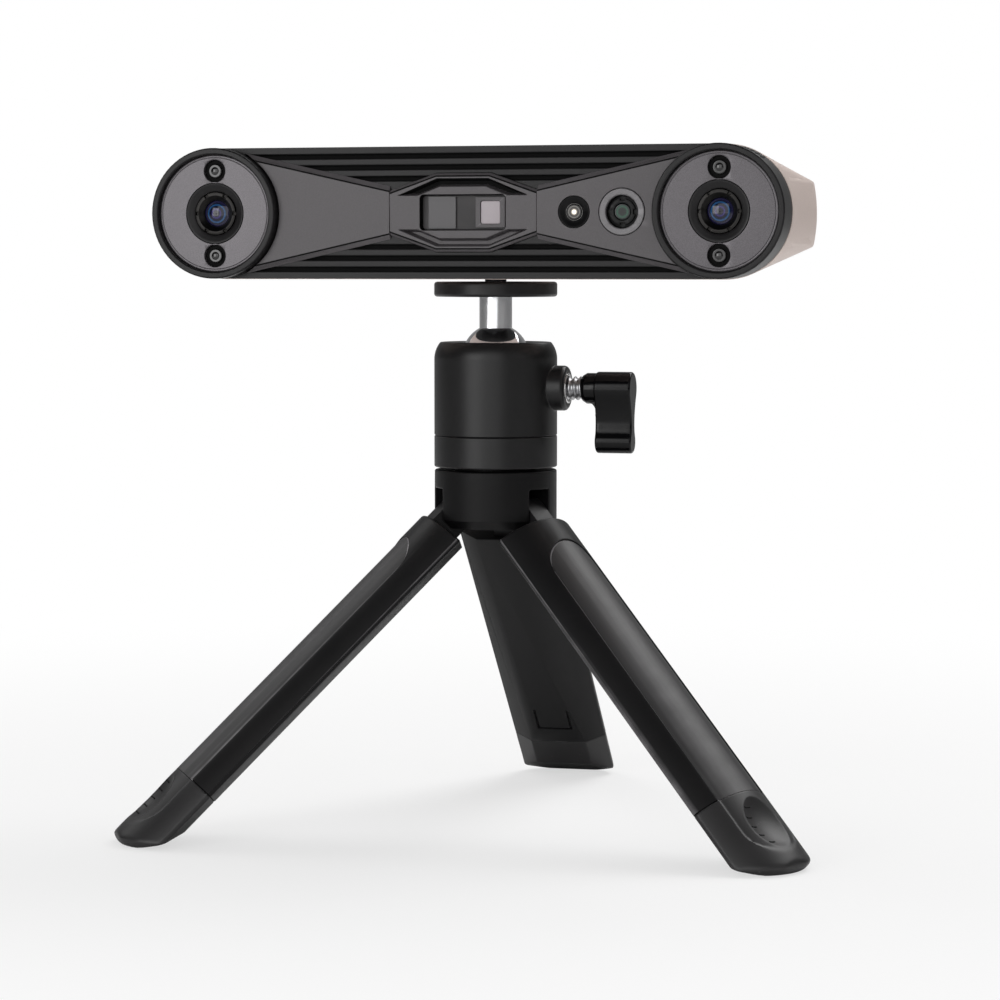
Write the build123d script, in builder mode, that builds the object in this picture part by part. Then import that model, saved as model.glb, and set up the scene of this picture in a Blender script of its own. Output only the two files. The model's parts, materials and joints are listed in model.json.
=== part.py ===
from build123d import *
import os
from math import asin, cos, degrees, radians, sin, sqrt, tan

os.makedirs("parts", exist_ok=True)

# A bar-shaped stereo 3-D scanner on a folding mini tripod with a ball head.
# Millimetres and degrees. +Z is up, the lenses face -Y, and z = 0 is the table.
# The origin is the middle of the footprint on the table.

# Driving dimensions: shared by all pieces
OVERRUN = 1.0               # how far a cut runs past the face that it opens
RUNNING_FIT = 0.06          # radial clearance of a turning or sliding fit
FINE_GAP = 0.15             # clearance round a piece that drops into a pocket

# Driving dimensions: legs
REAR_ANGLE = 92.1           # directions of the legs seen from above
LEFT_ANGLE = 212.1
RIGHT_ANGLE = 332.1
SPLAY = 46.0                # lean of an open leg from the vertical
MEETING_ANGLE = 30.0        # folded legs meet on planes this far from the tangent
LEG_LENGTH = 134.8          # hinge pin to table, along the leg
PIVOT_RADIUS = 12.0         # hinge pin to the stand's axis
LEG_CROWN_RADIUS = 18.1     # outside of the three folded legs
LEG_INNER = 5.66            # inner flat to the stand's axis, leg folded
LEG_HALF_WIDTH = 14.9
FOLD_GAP = 0.46             # half of the gap between two folded legs, radially
LEG_SHOULDER = 7.2          # hinge pin to the square top of the leg
LEG_EDGE = 0.8              # rounding of the shoulder
KNUCKLE_RADIUS = 4.6
KNUCKLE_WIDTH = 7.6
PIN_RADIUS = 1.5
PIN_LENGTH = 19.0
GRIP_START = 15.8           # hinge pin to the round top of the crown panel
GRIP_MARGIN = 3.6           # the panel's round end stops this far before the leg's end
GRIP_HALF_WIDTH = 9.5
GRIP_THICKNESS = 1.2
GRIP_STEP = 0.35            # the panel lies this far below the crown
GRIP_GAP = 0.08
TONGUE_OFFSET = 16.8        # top of the catch tongue above the foot joint
TONGUE_LENGTH = 10.1
TONGUE_WIDTH = 11.3
TONGUE_SLIT = 0.7
TONGUE_DEPTH = 0.9

# Driving dimensions: feet
FOOT_LENGTH = 24.5          # joint between leg and foot to the table, along the leg
HEEL_MARGIN = 12.4          # the sole starts this far before the leg's end, at the inner flat
SOLE_ANGLE = 27.2           # lean of the sole from the leg's length
NOSE_RADIUS = 3.0           # rounding from the crown over the toe to the sole
NOSE_LIFT = 0.12            # the rounding meets the crown this far below its own top
TOE_BOW = 7.0               # how far the toe's middle stands before its sides
TOE_TRIM = 0.2              # the bowed rim cuts this far into the rounding
SPIGOT_WIDTH = 12.0
SPIGOT_HEIGHT = 6.0
SPIGOT_LENGTH = 8.0
SCOOP_OFFSET = 11.0         # foot joint to the middle of the thumb scoop
SCOOP_RADIUS = 18.5
SCOOP_DEPTH = 2.6

# Driving dimensions: hub and swivel
HUB_RADIUS = 18.0
HUB_HEIGHT = 16.9
HUB_DROP = 4.4              # hinge pin above the underside
HUB_CHAMFER = 2.5
HUB_EDGE = 0.5
SLOT_SIDE_GAP = 0.3
SLOT_END_GAP = 0.6
SLOT_TOP_GAP = 2.6          # the slot is this much higher than the knuckle
WASHER_THICKNESS = 0.8
WASHER_RADIUS = 12.0
PAN_BOLT_RADIUS = 4.0
PAN_BOLT_DEPTH = 10.0       # length of the bolt inside the hub
PAN_HEAD_RADIUS = 7.0
PAN_HEAD_HEIGHT = 3.0
PAN_HEAD_GAP = 0.2
PAN_HEX_RADIUS = 3.4
PAN_HEX_DEPTH = 1.8

# Driving dimensions: ball head
HEAD_RADIUS = 18.1
BASE_HEIGHT = 9.3
BASE_FLOOR = 4.0
BASE_CAVITY_RADIUS = 15.0
SEAM_CHAMFER = 0.3
HOUSING_HEIGHT = 27.4
SHOULDER_HEIGHT = 5.0
SHOULDER_WIDTH = 1.8
SPIGOT_RING_HEIGHT = 3.0
SPIGOT_RING_WALL = 3.0
HOUSING_RECESS = 5.5        # hollow in the housing's underside
MOUTH_RADIUS = 11.5         # rim of the flared mouth
LIP_RISE = 2.5              # the mouth grips the ball this far above its centre
SOCKET_DROP = 1.0           # the close socket ends this far below the centre
BALL_RADIUS = 10.0
BALL_SINK = 4.7             # ball centre below the rim
SEAT_THICKNESS = 1.6
SEAT_HALF_ANGLE = 18.0
STEM_RADIUS = 4.8
STEM_LENGTH = 18.0          # ball centre to the platform's underside
PLATFORM_RADIUS = 18.1
PLATFORM_THICKNESS = 4.4
PLATFORM_EDGE = 0.9
PLATFORM_GAP = 0.9          # thread left showing between platform and scanner
THREAD_RADIUS = 3.175       # quarter-inch camera thread
THREAD_ROOT_DEPTH = 6.0     # stud length sunk in the stem
THREAD_REACH = 7.5          # stud length above the platform
THREAD_TIP = 0.8

# Driving dimensions: clamp
CLAMP_DROP = 8.7            # clamp axis below the ball's centre
CLAMP_ANGLE = 40.0          # the shoe bears on the ball this far from straight below
SHOE_RADIUS = 3.2
SHOE_START = 5.0
SHOE_GAP = 0.3
CLAMP_SCREW_RADIUS = 3.5
CLAMP_SCREW_START = 12.0
BOSS_RADIUS = 6.6
BOSS_START = 12.5
BOSS_REACH = 22.0
BOSS_EDGE = 1.2
BUSHING_RADIUS = 4.5
BUSHING_LENGTH = 3.0
BUSHING_PROUD = 0.3
KNOB_START = 26.7
KNOB_END = 41.6
KNOB_COLLAR_RADIUS = 4.5
KNOB_COLLAR_TIP_RADIUS = 3.8
KNOB_COLLAR_TAPER = 1.2
KNOB_SCREW_DEPTH = 8.0      # clamp screw length inside the knob
LEVER_START = 30.7
LEVER_HEAD_RADIUS = 4.9
LEVER_HEAD_ANGLE = 25.0     # the head's arc ends this far below level on each side
LEVER_LOBE_RADIUS = 3.4
LEVER_LOBE_ANGLE = 30.0     # the lobe's arc ends this far above level on each side
LEVER_LENGTH = 15.5         # clamp axis to the middle of the lobe
LEVER_WAIST = 2.2
LEVER_WAIST_PLACE = 9.8
LEVER_EDGE = 0.7
WEB_RUN = 2.8               # the web under the collar reaches this far before the lever
WEB_DROP = 4.0
WEB_HALF_WIDTH = 2.4

# Driving dimensions: scanner casing and panels (depths are from the ring fronts)
POD_X = 74.2
POD_RADIUS = 18.8
RING_WIDTH = 1.9
RING_EDGE = 0.5
AXIS_DEPTH = 38.0           # stand axis behind the ring fronts
FACE_DEPTH = 4.6            # ribbed face behind the ring fronts
WALL_BACK = 8.0             # back of the front wall
CASING_DEPTH = 12.0
CASING_WALL = 4.3
CASING_LIP = 2.0
LIP_CLEARANCE = 1.3
FIN_HEIGHTS = (9.7, 12.9, 16.1)
FIN_SLOT = 1.1
FIN_DEPTH = 1.6
PANEL_THICKNESS = 1.6
PANEL_BEVEL = 1.4
PANEL_GAP = 0.4
PANEL_END_SHARE = 1.02      # the wing's height at the pod, of the pod's radius
WAIST_X = 21.7
WAIST_HALF = 7.5

# Driving dimensions: projector window
BEZEL_BACK = 6.0            # the bezel is let into the casing's front wall
BEZEL_GAP = 0.1
BEZEL_TOP_HALF = 8.0
BEZEL_HALF_HEIGHT = 11.1
BEZEL_SIDE_HALF = 6.3
BEZEL_BEVEL = 0.8
POCKET_DEPTH = 2.4
POCKET_TAPER = 14.0
POCKET_TOP_HALF = 7.6
POCKET_TOP = 9.6
POCKET_END_X = 19.2
POCKET_END = 4.8
PLATE_TOP_HALF = 6.8
PLATE_TOP = 7.3
PLATE_END_X = 13.3
WINDOW_WIDTH = 25.3
WINDOW_HEIGHT = 10.1
WINDOW_CORNER = 1.2
NOSE_DEPTH = 5.4            # front of the projector's nose
PROJECTOR_WIDTH = 32.0
PROJECTOR_HEIGHT = 20.0
PROJECTOR_BACK = 27.0
GLASS_X = -6.5
GLASS_WIDTH = 8.0
GLASS_HEIGHT = 9.0
GLASS_THICKNESS = 0.7
EMITTER_X = 7.75
EMITTER_FRAME = 8.7
EMITTER_WIDTH = 5.8
EMITTER_HEIGHT = 6.6
EMITTER_CORNER = 0.7
EMITTER_PROUD = 0.9
EMITTER_SINK = 0.3

# Driving dimensions: camera pods
PLATE_RADIUS = 16.1
PLATE_DEPTH = 1.8
PLATE_THICKNESS = 2.0
PLATE_EDGE = 0.2
SURROUND_RADIUS = 8.6
SURROUND_DISH = 0.9
BARREL_RADIUS = 6.1
BARREL_DEPTH = 2.3
BARREL_BACK = 17.0
BARREL_RIM = 0.9
BARREL_NOTCH = 1.0
BARREL_NOTCHES = 6
LENS_RADIUS = 3.85
LENS_DEPTH = 4.6
LENS_RISE = 1.0
LENS_EDGE = 0.5
LIGHT_HEIGHT = 12.2
LIGHT_HOLE_RADIUS = 3.25
LIGHT_RADIUS = 2.05
LIGHT_FLANGE = 0.8
LIGHT_RISE = 0.8
HOLDER_SIZE = 18.0
HOLDER_DEPTH = 10.0
BOARD_THICKNESS = 1.6
SENSOR_BOARD = 20.0

# Driving dimensions: colour camera and flash
CAMERA_X = 46.3
CAMERA_RING_RADIUS = 6.5
CAMERA_RING_PROUD = 0.2
CAMERA_BARREL_RADIUS = 4.5
CAMERA_DEPTH = 4.7
CAMERA_EYE_RADIUS = 3.7
CAMERA_EYE_RISE = 0.9
CAMERA_EYE_NOTCHES = 4
CAMERA_NOTCH_WIDTH = 1.4
CAMERA_NOTCH_DEPTH = 0.6
CAMERA_BACK = 20.0
CAMERA_LENS_RADIUS = 2.45
CAMERA_LENS_DEPTH = 1.4
CAMERA_LENS_RISE = 0.5
FLASH_X = 32.5
FLASH_RADIUS = 4.4
FLASH_FLOOR_RADIUS = 2.5
FLASH_FLOOR = 0.5
LAMP_RISE = 0.7
LAMP_RADIUS = 2.2

# Driving dimensions: scanner inside and rear
CHASSIS_THICKNESS = 2.0
CHASSIS_SCREW_X = 59.0
CHASSIS_SCREW_Z = 5.0
SMALL_SCREW_RADIUS = 1.0
SMALL_HEAD_RADIUS = 1.9
SMALL_HEAD_HEIGHT = 1.3
SMALL_SCREW_GRIP = 1.6      # screw length in the piece that it holds on to
SCANNER_DEPTH = 60.0
SHELL_WALL = 2.0
SHELL_END_X = 90.5          # half length of the rear face at its corners
SHELL_END_BOW = 0.75
SHELL_END_HALF = 9.8        # half height of the rear face
SHELL_CORNER = 1.5
ARC_SPLIT = 32.0            # where the round end divides, from level
PAD_RADIUS = 10.0
PAD_HEIGHT = 10.0
PAD_EDGE = 0.8
INSERT_RADIUS = 5.0
INSERT_LENGTH = 9.0
MAIN_BOARD_WIDTH = 140.0
MAIN_BOARD_HEIGHT = 16.0
STANDOFF_LENGTH = 6.5
STANDOFF_RADIUS = 2.6
STANDOFF_INSET = 10.0       # standoff centres from the board's ends
STANDOFF_MARGIN = 3.4       # standoff centres from the board's long edges
BUTTON_RADIUS = 6.0
BUTTON_GAP = 0.3
BUTTON_PROUD = 0.6
BUTTON_FLANGE = 1.2
BUTTON_FLANGE_HEIGHT = 1.0
BUTTON_STEM_RADIUS = 2.0
BUTTON_TRAVEL = 0.8
BUTTON_EDGE = 0.4
SWITCH_SIZE = 6.2
SWITCH_HEIGHT = 3.4
PORT_X = 40.0
PORT_WIDTH = 8.94
PORT_HEIGHT = 3.26
PORT_WALL = 0.3
PORT_DEPTH = 6.2
PORT_TONGUE_WIDTH = 6.7
PORT_TONGUE_HEIGHT = 0.7
PORT_TONGUE_LENGTH = 4.5
PORT_GAP = 0.1
STATUS_X = 14.0
STATUS_RADIUS = 1.5
STATUS_FLANGE = 0.7
STATUS_FLANGE_HEIGHT = 1.5

leg_angles = {"rear": REAR_ANGLE, "left": LEFT_ANGLE, "right": RIGHT_ANGLE}

# Places along a leg worked out from its length
foot_seam = LEG_LENGTH - FOOT_LENGTH
heel = LEG_LENGTH - HEEL_MARGIN
grip_end = LEG_LENGTH - GRIP_MARGIN
scoop_place = foot_seam + SCOOP_OFFSET
tongue_start = foot_seam - TONGUE_OFFSET

# Heights worked out from the sizes above
splay = radians(SPLAY)
fold_slope = tan(radians(MEETING_ANGLE))
pivot_height = LEG_LENGTH * cos(splay)
hub_bottom = pivot_height - HUB_DROP
hub_top = hub_bottom + HUB_HEIGHT
base_bottom = hub_top + WASHER_THICKNESS
seam_height = base_bottom + BASE_HEIGHT
housing_top = seam_height + HOUSING_HEIGHT
ball_height = housing_top - BALL_SINK
clamp_height = ball_height - CLAMP_DROP
platform_bottom = ball_height + STEM_LENGTH
platform_top = platform_bottom + PLATFORM_THICKNESS
scanner_bottom = platform_top + PLATFORM_GAP
scanner_height = scanner_bottom + POD_RADIUS

# The leg's section, measured outwards from the hinge pin
leg_floor = LEG_INNER - PIVOT_RADIUS
leg_crown = LEG_CROWN_RADIUS - PIVOT_RADIUS
leg_inner_half = (LEG_INNER - FOLD_GAP) / fold_slope
side_low = LEG_HALF_WIDTH * fold_slope + FOLD_GAP - PIVOT_RADIUS
side_high = sqrt(LEG_CROWN_RADIUS**2 - LEG_HALF_WIDTH**2) - PIVOT_RADIUS
sole_lean = radians(SOLE_ANGLE)
nose_top = leg_crown + NOSE_LIFT
nose_rise = nose_top - NOSE_RADIUS
nose_place = heel + (nose_rise - leg_floor - NOSE_RADIUS / cos(sole_lean)) / tan(sole_lean)
toe_end = nose_place + NOSE_RADIUS - TOE_TRIM


def leg_plane(azimuth, axis=Vector(0, 0, 0)):
    """Plane on an open leg's hinge pin: x along the pin, y outwards, z down the leg."""
    outward = Vector(cos(radians(azimuth)), sin(radians(azimuth)), 0)
    along = outward * sin(splay) + Vector(0, 0, -cos(splay))
    tangent = Vector(-sin(radians(azimuth)), cos(radians(azimuth)), 0)
    origin = axis + Vector(0, 0, pivot_height) + outward * PIVOT_RADIUS
    return Plane(origin=origin, x_dir=tangent, z_dir=along)


def leg_profile(leg):
    """Plane through a leg's middle: x down the leg, y outwards."""
    return Plane(origin=leg.origin, x_dir=leg.z_dir, z_dir=-leg.x_dir)


def leg_section(leg, along):
    """Cross section of a leg: inner flat, two folding bevels, sides and a round crown."""
    with BuildSketch(leg.offset(along)) as section:
        with BuildLine():
            Polyline(
                (LEG_HALF_WIDTH, side_high),
                (LEG_HALF_WIDTH, side_low),
                (leg_inner_half, leg_floor),
                (-leg_inner_half, leg_floor),
                (-LEG_HALF_WIDTH, side_low),
                (-LEG_HALF_WIDTH, side_high),
            )
            ThreePointArc((-LEG_HALF_WIDTH, side_high), (0, leg_crown), (LEG_HALF_WIDTH, side_high))
        make_face()
    return section.sketch


def crown_panel(leg, half_width, start, end, inner_radius, outer_radius):
    """Curved panel along a leg's crown with round ends, between two radii of the folded legs."""
    crown_view = Plane(origin=leg.origin, x_dir=leg.x_dir, z_dir=leg.y_dir)
    with BuildPart() as panel:
        with BuildSketch(crown_view):
            with Locations((0, -(start + end) / 2)):
                SlotOverall(end - start, 2 * half_width, rotation=90)
        extrude(amount=leg_crown + OVERRUN)
        with BuildSketch(leg):
            with Locations((0, -PIVOT_RADIUS)):
                Circle(outer_radius)
        extrude(amount=end + OVERRUN, mode=Mode.INTERSECT)
        with BuildSketch(leg):
            with Locations((0, -PIVOT_RADIUS)):
                Circle(inner_radius)
        extrude(amount=end + OVERRUN, mode=Mode.SUBTRACT)
    return panel.part


# Legs about the Z axis: each has a shell with its hinge knuckle, a crown panel and a foot
leg_pieces = {}
for side, azimuth in leg_angles.items():
    leg = leg_plane(azimuth)
    profile = leg_profile(leg)
    section_middle = (leg_floor + leg_crown) / 2
    pocket_radius = LEG_CROWN_RADIUS - GRIP_THICKNESS
    panel_radius = LEG_CROWN_RADIUS - GRIP_STEP
    cut_radius = LEG_CROWN_RADIUS + OVERRUN

    with BuildPart() as leg_shell:
        extrude(leg_section(leg, LEG_SHOULDER), amount=foot_seam - LEG_SHOULDER)
        fillet(leg_shell.faces().sort_by(Axis.Z)[-1].edges().sort_by(Axis.Z)[-1], LEG_EDGE)
        with BuildSketch(profile):
            Circle(KNUCKLE_RADIUS)
            with Locations((LEG_SHOULDER / 2, 0)):
                Rectangle(LEG_SHOULDER, 2 * KNUCKLE_RADIUS)
        extrude(amount=KNUCKLE_WIDTH / 2, both=True)
        with BuildSketch(profile):
            Circle(PIN_RADIUS + RUNNING_FIT)
        extrude(amount=KNUCKLE_WIDTH, both=True, mode=Mode.SUBTRACT)
        add(
            crown_panel(leg, GRIP_HALF_WIDTH, GRIP_START, grip_end, pocket_radius, cut_radius),
            mode=Mode.SUBTRACT,
        )
        with BuildSketch(leg.offset(foot_seam)):
            with Locations((0, section_middle)):
                Rectangle(SPIGOT_WIDTH + 2 * FINE_GAP, SPIGOT_HEIGHT + 2 * FINE_GAP)
        extrude(amount=-SPIGOT_LENGTH - FINE_GAP, mode=Mode.SUBTRACT)
        inner_face = Plane(
            origin=leg.origin + leg.y_dir * leg_floor, x_dir=leg.x_dir, z_dir=-leg.y_dir
        )
        with BuildSketch(inner_face):
            with Locations((0, tongue_start + TONGUE_LENGTH / 2)):
                Rectangle(TONGUE_WIDTH, TONGUE_LENGTH)
            with Locations((0, tongue_start + TONGUE_LENGTH / 2 - TONGUE_SLIT)):
                Rectangle(TONGUE_WIDTH - 2 * TONGUE_SLIT, TONGUE_LENGTH, mode=Mode.SUBTRACT)
        extrude(amount=-TONGUE_DEPTH, mode=Mode.SUBTRACT)
    leg_pieces[f"{side}_leg"] = leg_shell.part

    grip_half = GRIP_HALF_WIDTH - GRIP_GAP
    with BuildPart() as leg_grip:
        add(crown_panel(leg, grip_half, GRIP_START + GRIP_GAP, grip_end, pocket_radius, panel_radius))
        split(bisect_by=leg.offset(foot_seam), keep=Keep.BOTTOM)
    leg_pieces[f"{side}_leg_grip"] = leg_grip.part

    with BuildPart() as foot:
        extrude(leg_section(leg, foot_seam), amount=toe_end + leg_crown - foot_seam)
        with BuildSketch(profile):
            with BuildLine():
                nose = CenterArc((nose_place, nose_rise), NOSE_RADIUS, 90, SOLE_ANGLE - 180)
                Polyline(
                    nose @ 1,
                    (heel, leg_floor),
                    (foot_seam, leg_floor),
                    (foot_seam, nose_top),
                    nose @ 0,
                )
            make_face()
        extrude(amount=LEG_HALF_WIDTH + OVERRUN, both=True, mode=Mode.INTERSECT)
        toe_view = Plane(origin=leg.origin, x_dir=leg.x_dir, z_dir=leg.y_dir)
        toe_side = toe_end - TOE_BOW
        with BuildSketch(toe_view):
            with BuildLine():
                Polyline(
                    (LEG_HALF_WIDTH, -toe_side),
                    (LEG_HALF_WIDTH, -foot_seam),
                    (-LEG_HALF_WIDTH, -foot_seam),
                    (-LEG_HALF_WIDTH, -toe_side),
                )
                ThreePointArc((-LEG_HALF_WIDTH, -toe_side), (0, -toe_end), (LEG_HALF_WIDTH, -toe_side))
            make_face()
        extrude(amount=LEG_CROWN_RADIUS, both=True, mode=Mode.INTERSECT)
        split(bisect_by=Plane.XY, keep=Keep.TOP)
        add(
            crown_panel(leg, GRIP_HALF_WIDTH, GRIP_START, grip_end, panel_radius, cut_radius),
            mode=Mode.SUBTRACT,
        )
        scoop_rise = leg_crown + SCOOP_RADIUS - SCOOP_DEPTH
        scoop_middle = leg.from_local_coords(Vector(0, scoop_rise, scoop_place))
        with Locations(Plane(origin=scoop_middle, x_dir=leg.y_dir, z_dir=leg.x_dir)):
            Sphere(SCOOP_RADIUS, mode=Mode.SUBTRACT)
        with BuildSketch(leg.offset(foot_seam)):
            with Locations((0, section_middle)):
                Rectangle(SPIGOT_WIDTH, SPIGOT_HEIGHT)
        extrude(amount=-SPIGOT_LENGTH)
    leg_pieces[f"{side}_foot"] = foot.part


# The stand is moved so that its footprint is centred on the origin
footprint = Compound(list(leg_pieces.values())).bounding_box().center()
stand_x = -footprint.X
stand_y = -footprint.Y
stand_axis = Vector(stand_x, stand_y, 0)
for name, piece in leg_pieces.items():
    placed = piece.moved(Location(stand_axis))
    placed.label = name
    export_step(placed, f"parts/{name}.step")


def level(height):
    """Horizontal plane centred on the stand's axis."""
    return Plane((stand_x, stand_y, height))


def upright(height):
    """Vertical plane through the stand's axis, for profiles turned about it."""
    return Plane(origin=(stand_x, stand_y, height), x_dir=(1, 0, 0), z_dir=(0, -1, 0))


def across(x):
    """Vertical plane square to X, x from the stand's axis, at the clamp's height: axes Y and Z."""
    return Plane(origin=(stand_x + x, stand_y, clamp_height), x_dir=(0, 1, 0), z_dir=(1, 0, 0))


def facing(depth):
    """Plane of the scanner's front at a depth behind the ring fronts: its axes are X and Z."""
    origin = (stand_x, stand_y - AXIS_DEPTH + depth, scanner_height)
    return Plane(origin=origin, x_dir=(1, 0, 0), z_dir=(0, -1, 0))


def radial(azimuth, height):
    """Horizontal plane on the stand's axis whose x axis points along a leg."""
    direction = (cos(radians(azimuth)), sin(radians(azimuth)), 0)
    return Plane(origin=(stand_x, stand_y, height), x_dir=direction, z_dir=(0, 0, 1))


# Hub that carries the three hinges
slot_reach = KNUCKLE_RADIUS + SLOT_END_GAP
slot_inner = PIVOT_RADIUS - slot_reach
with BuildPart() as leg_hub:
    with BuildSketch(level(hub_bottom)):
        Circle(HUB_RADIUS)
    extrude(amount=HUB_HEIGHT)
    chamfer(leg_hub.edges().group_by(Axis.Z)[0], HUB_CHAMFER)
    fillet(leg_hub.edges().group_by(Axis.Z)[-1], HUB_EDGE)
    with BuildSketch(level(hub_top)):
        Circle(PAN_BOLT_RADIUS)
    extrude(amount=-PAN_BOLT_DEPTH, mode=Mode.SUBTRACT)
    for azimuth in leg_angles.values():
        with BuildSketch(radial(azimuth, hub_bottom)):
            with Locations(((slot_inner + HUB_RADIUS + OVERRUN) / 2, 0)):
                Rectangle(HUB_RADIUS + OVERRUN - slot_inner, KNUCKLE_WIDTH + 2 * SLOT_SIDE_GAP)
        extrude(amount=HUB_DROP + KNUCKLE_RADIUS + SLOT_TOP_GAP, mode=Mode.SUBTRACT)
        with BuildSketch(leg_profile(leg_plane(azimuth, stand_axis))):
            Circle(PIN_RADIUS)
        extrude(amount=PIN_LENGTH / 2, both=True, mode=Mode.SUBTRACT)
leg_hub.part.label = "leg_hub"
export_step(leg_hub.part, "parts/leg_hub.step")

with BuildPart() as hinge_pins:
    for azimuth in leg_angles.values():
        with BuildSketch(leg_profile(leg_plane(azimuth, stand_axis))):
            Circle(PIN_RADIUS)
        extrude(amount=PIN_LENGTH / 2, both=True)
hinge_pins.part.label = "hinge_pins"
export_step(hinge_pins.part, "parts/hinge_pins.step")

# Swivel: a washer and a shoulder bolt that the head turns on
with BuildPart() as pan_washer:
    with BuildSketch(level(hub_top)):
        Circle(WASHER_RADIUS)
        Circle(PAN_BOLT_RADIUS, mode=Mode.SUBTRACT)
    extrude(amount=WASHER_THICKNESS)
pan_washer.part.label = "pan_washer"
export_step(pan_washer.part, "parts/pan_washer.step")

pan_head_bottom = base_bottom + BASE_FLOOR + PAN_HEAD_GAP
with BuildPart() as pan_bolt:
    with BuildSketch(level(hub_top - PAN_BOLT_DEPTH)):
        Circle(PAN_BOLT_RADIUS)
    extrude(amount=pan_head_bottom - hub_top + PAN_BOLT_DEPTH)
    with BuildSketch(level(pan_head_bottom)):
        Circle(PAN_HEAD_RADIUS)
    extrude(amount=PAN_HEAD_HEIGHT)
    with BuildSketch(level(pan_head_bottom + PAN_HEAD_HEIGHT)):
        RegularPolygon(PAN_HEX_RADIUS, 6)
    extrude(amount=-PAN_HEX_DEPTH, mode=Mode.SUBTRACT)
pan_bolt.part.label = "pan_bolt"
export_step(pan_bolt.part, "parts/pan_bolt.step")

# Ball head: base, housing with its clamp boss, seat and ball
with BuildPart() as housing_base:
    with BuildSketch(level(base_bottom)):
        Circle(HEAD_RADIUS)
    extrude(amount=BASE_HEIGHT)
    chamfer(housing_base.edges().group_by(Axis.Z)[-1], SEAM_CHAMFER)
    fillet(housing_base.edges().group_by(Axis.Z)[0], HUB_EDGE)
    with BuildSketch(level(seam_height)):
        Circle(BASE_CAVITY_RADIUS)
    extrude(amount=BASE_FLOOR - BASE_HEIGHT, mode=Mode.SUBTRACT)
    with BuildSketch(level(base_bottom)):
        Circle(PAN_BOLT_RADIUS + RUNNING_FIT)
    extrude(amount=BASE_HEIGHT, mode=Mode.SUBTRACT)
housing_base.part.label = "housing_base"
export_step(housing_base.part, "parts/housing_base.step")

socket_radius = BALL_RADIUS + RUNNING_FIT
seat_radius = socket_radius + SEAT_THICKNESS
cavity_radius = seat_radius + RUNNING_FIT
lip_radius = sqrt(socket_radius**2 - LIP_RISE**2)
socket_end = sqrt(socket_radius**2 - SOCKET_DROP**2)
cavity_angle = degrees(asin(SOCKET_DROP / cavity_radius))
spigot_radius = BASE_CAVITY_RADIUS - FINE_GAP
spigot_bottom = -HOUSING_HEIGHT + BALL_SINK - SPIGOT_RING_HEIGHT
seam_drop = -HOUSING_HEIGHT + BALL_SINK
with BuildPart() as ball_housing:
    with BuildSketch(upright(ball_height)):
        with BuildLine():
            socket = CenterArc((0, 0), cavity_radius, -cavity_angle, cavity_angle - 90)
            close_socket = RadiusArc((socket_end, -SOCKET_DROP), (lip_radius, LIP_RISE), -socket_radius)
            shoulder = TangentArc(
                (HEAD_RADIUS, BALL_SINK - SHOULDER_HEIGHT),
                (HEAD_RADIUS - SHOULDER_WIDTH, BALL_SINK),
                tangent=(0, 1),
            )
            Line(socket @ 0, close_socket @ 0)
            Polyline(close_socket @ 1, (MOUTH_RADIUS, BALL_SINK), shoulder @ 1)
            Polyline(
                shoulder @ 0,
                (HEAD_RADIUS, seam_drop + SEAM_CHAMFER),
                (HEAD_RADIUS - SEAM_CHAMFER, seam_drop),
                (spigot_radius, seam_drop),
                (spigot_radius, spigot_bottom),
                (spigot_radius - SPIGOT_RING_WALL, spigot_bottom),
                (spigot_radius - SPIGOT_RING_WALL, seam_drop + HOUSING_RECESS),
                (0, seam_drop + HOUSING_RECESS),
                socket @ 1,
            )
        make_face()
    revolve(axis=Axis(stand_axis, (0, 0, 1)))
    with BuildSketch(across(BOSS_REACH)):
        Circle(BOSS_RADIUS)
    extrude(amount=BOSS_START - BOSS_REACH)
    fillet(ball_housing.faces().sort_by(Axis.X)[-1].edges(), BOSS_EDGE)
    with BuildSketch(across(CLAMP_SCREW_START)):
        Circle(SHOE_RADIUS + RUNNING_FIT)
    extrude(amount=-CLAMP_SCREW_START + SHOE_START - OVERRUN, mode=Mode.SUBTRACT)
    with BuildSketch(across(CLAMP_SCREW_START)):
        Circle(CLAMP_SCREW_RADIUS + RUNNING_FIT)
    extrude(amount=BOSS_REACH - CLAMP_SCREW_START + OVERRUN, mode=Mode.SUBTRACT)
    with BuildSketch(across(BOSS_REACH)):
        Circle(BUSHING_RADIUS)
    extrude(amount=-BUSHING_LENGTH, mode=Mode.SUBTRACT)
ball_housing.part.label = "ball_housing"
export_step(ball_housing.part, "parts/ball_housing.step")

with BuildPart() as clamp_bushing:
    with BuildSketch(across(BOSS_REACH + BUSHING_PROUD)):
        Circle(BUSHING_RADIUS)
        Circle(CLAMP_SCREW_RADIUS + RUNNING_FIT, mode=Mode.SUBTRACT)
    extrude(amount=-BUSHING_LENGTH - BUSHING_PROUD)
clamp_bushing.part.label = "clamp_bushing"
export_step(clamp_bushing.part, "parts/clamp_bushing.step")

with BuildPart() as ball_seat:
    with BuildSketch(upright(ball_height)):
        with BuildLine():
            inner = CenterArc((0, 0), socket_radius, -90, SEAT_HALF_ANGLE)
            outer = CenterArc((0, 0), seat_radius, -90, SEAT_HALF_ANGLE)
            Line(inner @ 0, outer @ 0)
            Line(inner @ 1, outer @ 1)
        make_face()
    revolve(axis=Axis(stand_axis, (0, 0, 1)))
ball_seat.part.label = "ball_seat"
export_step(ball_seat.part, "parts/ball_seat.step")

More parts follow.
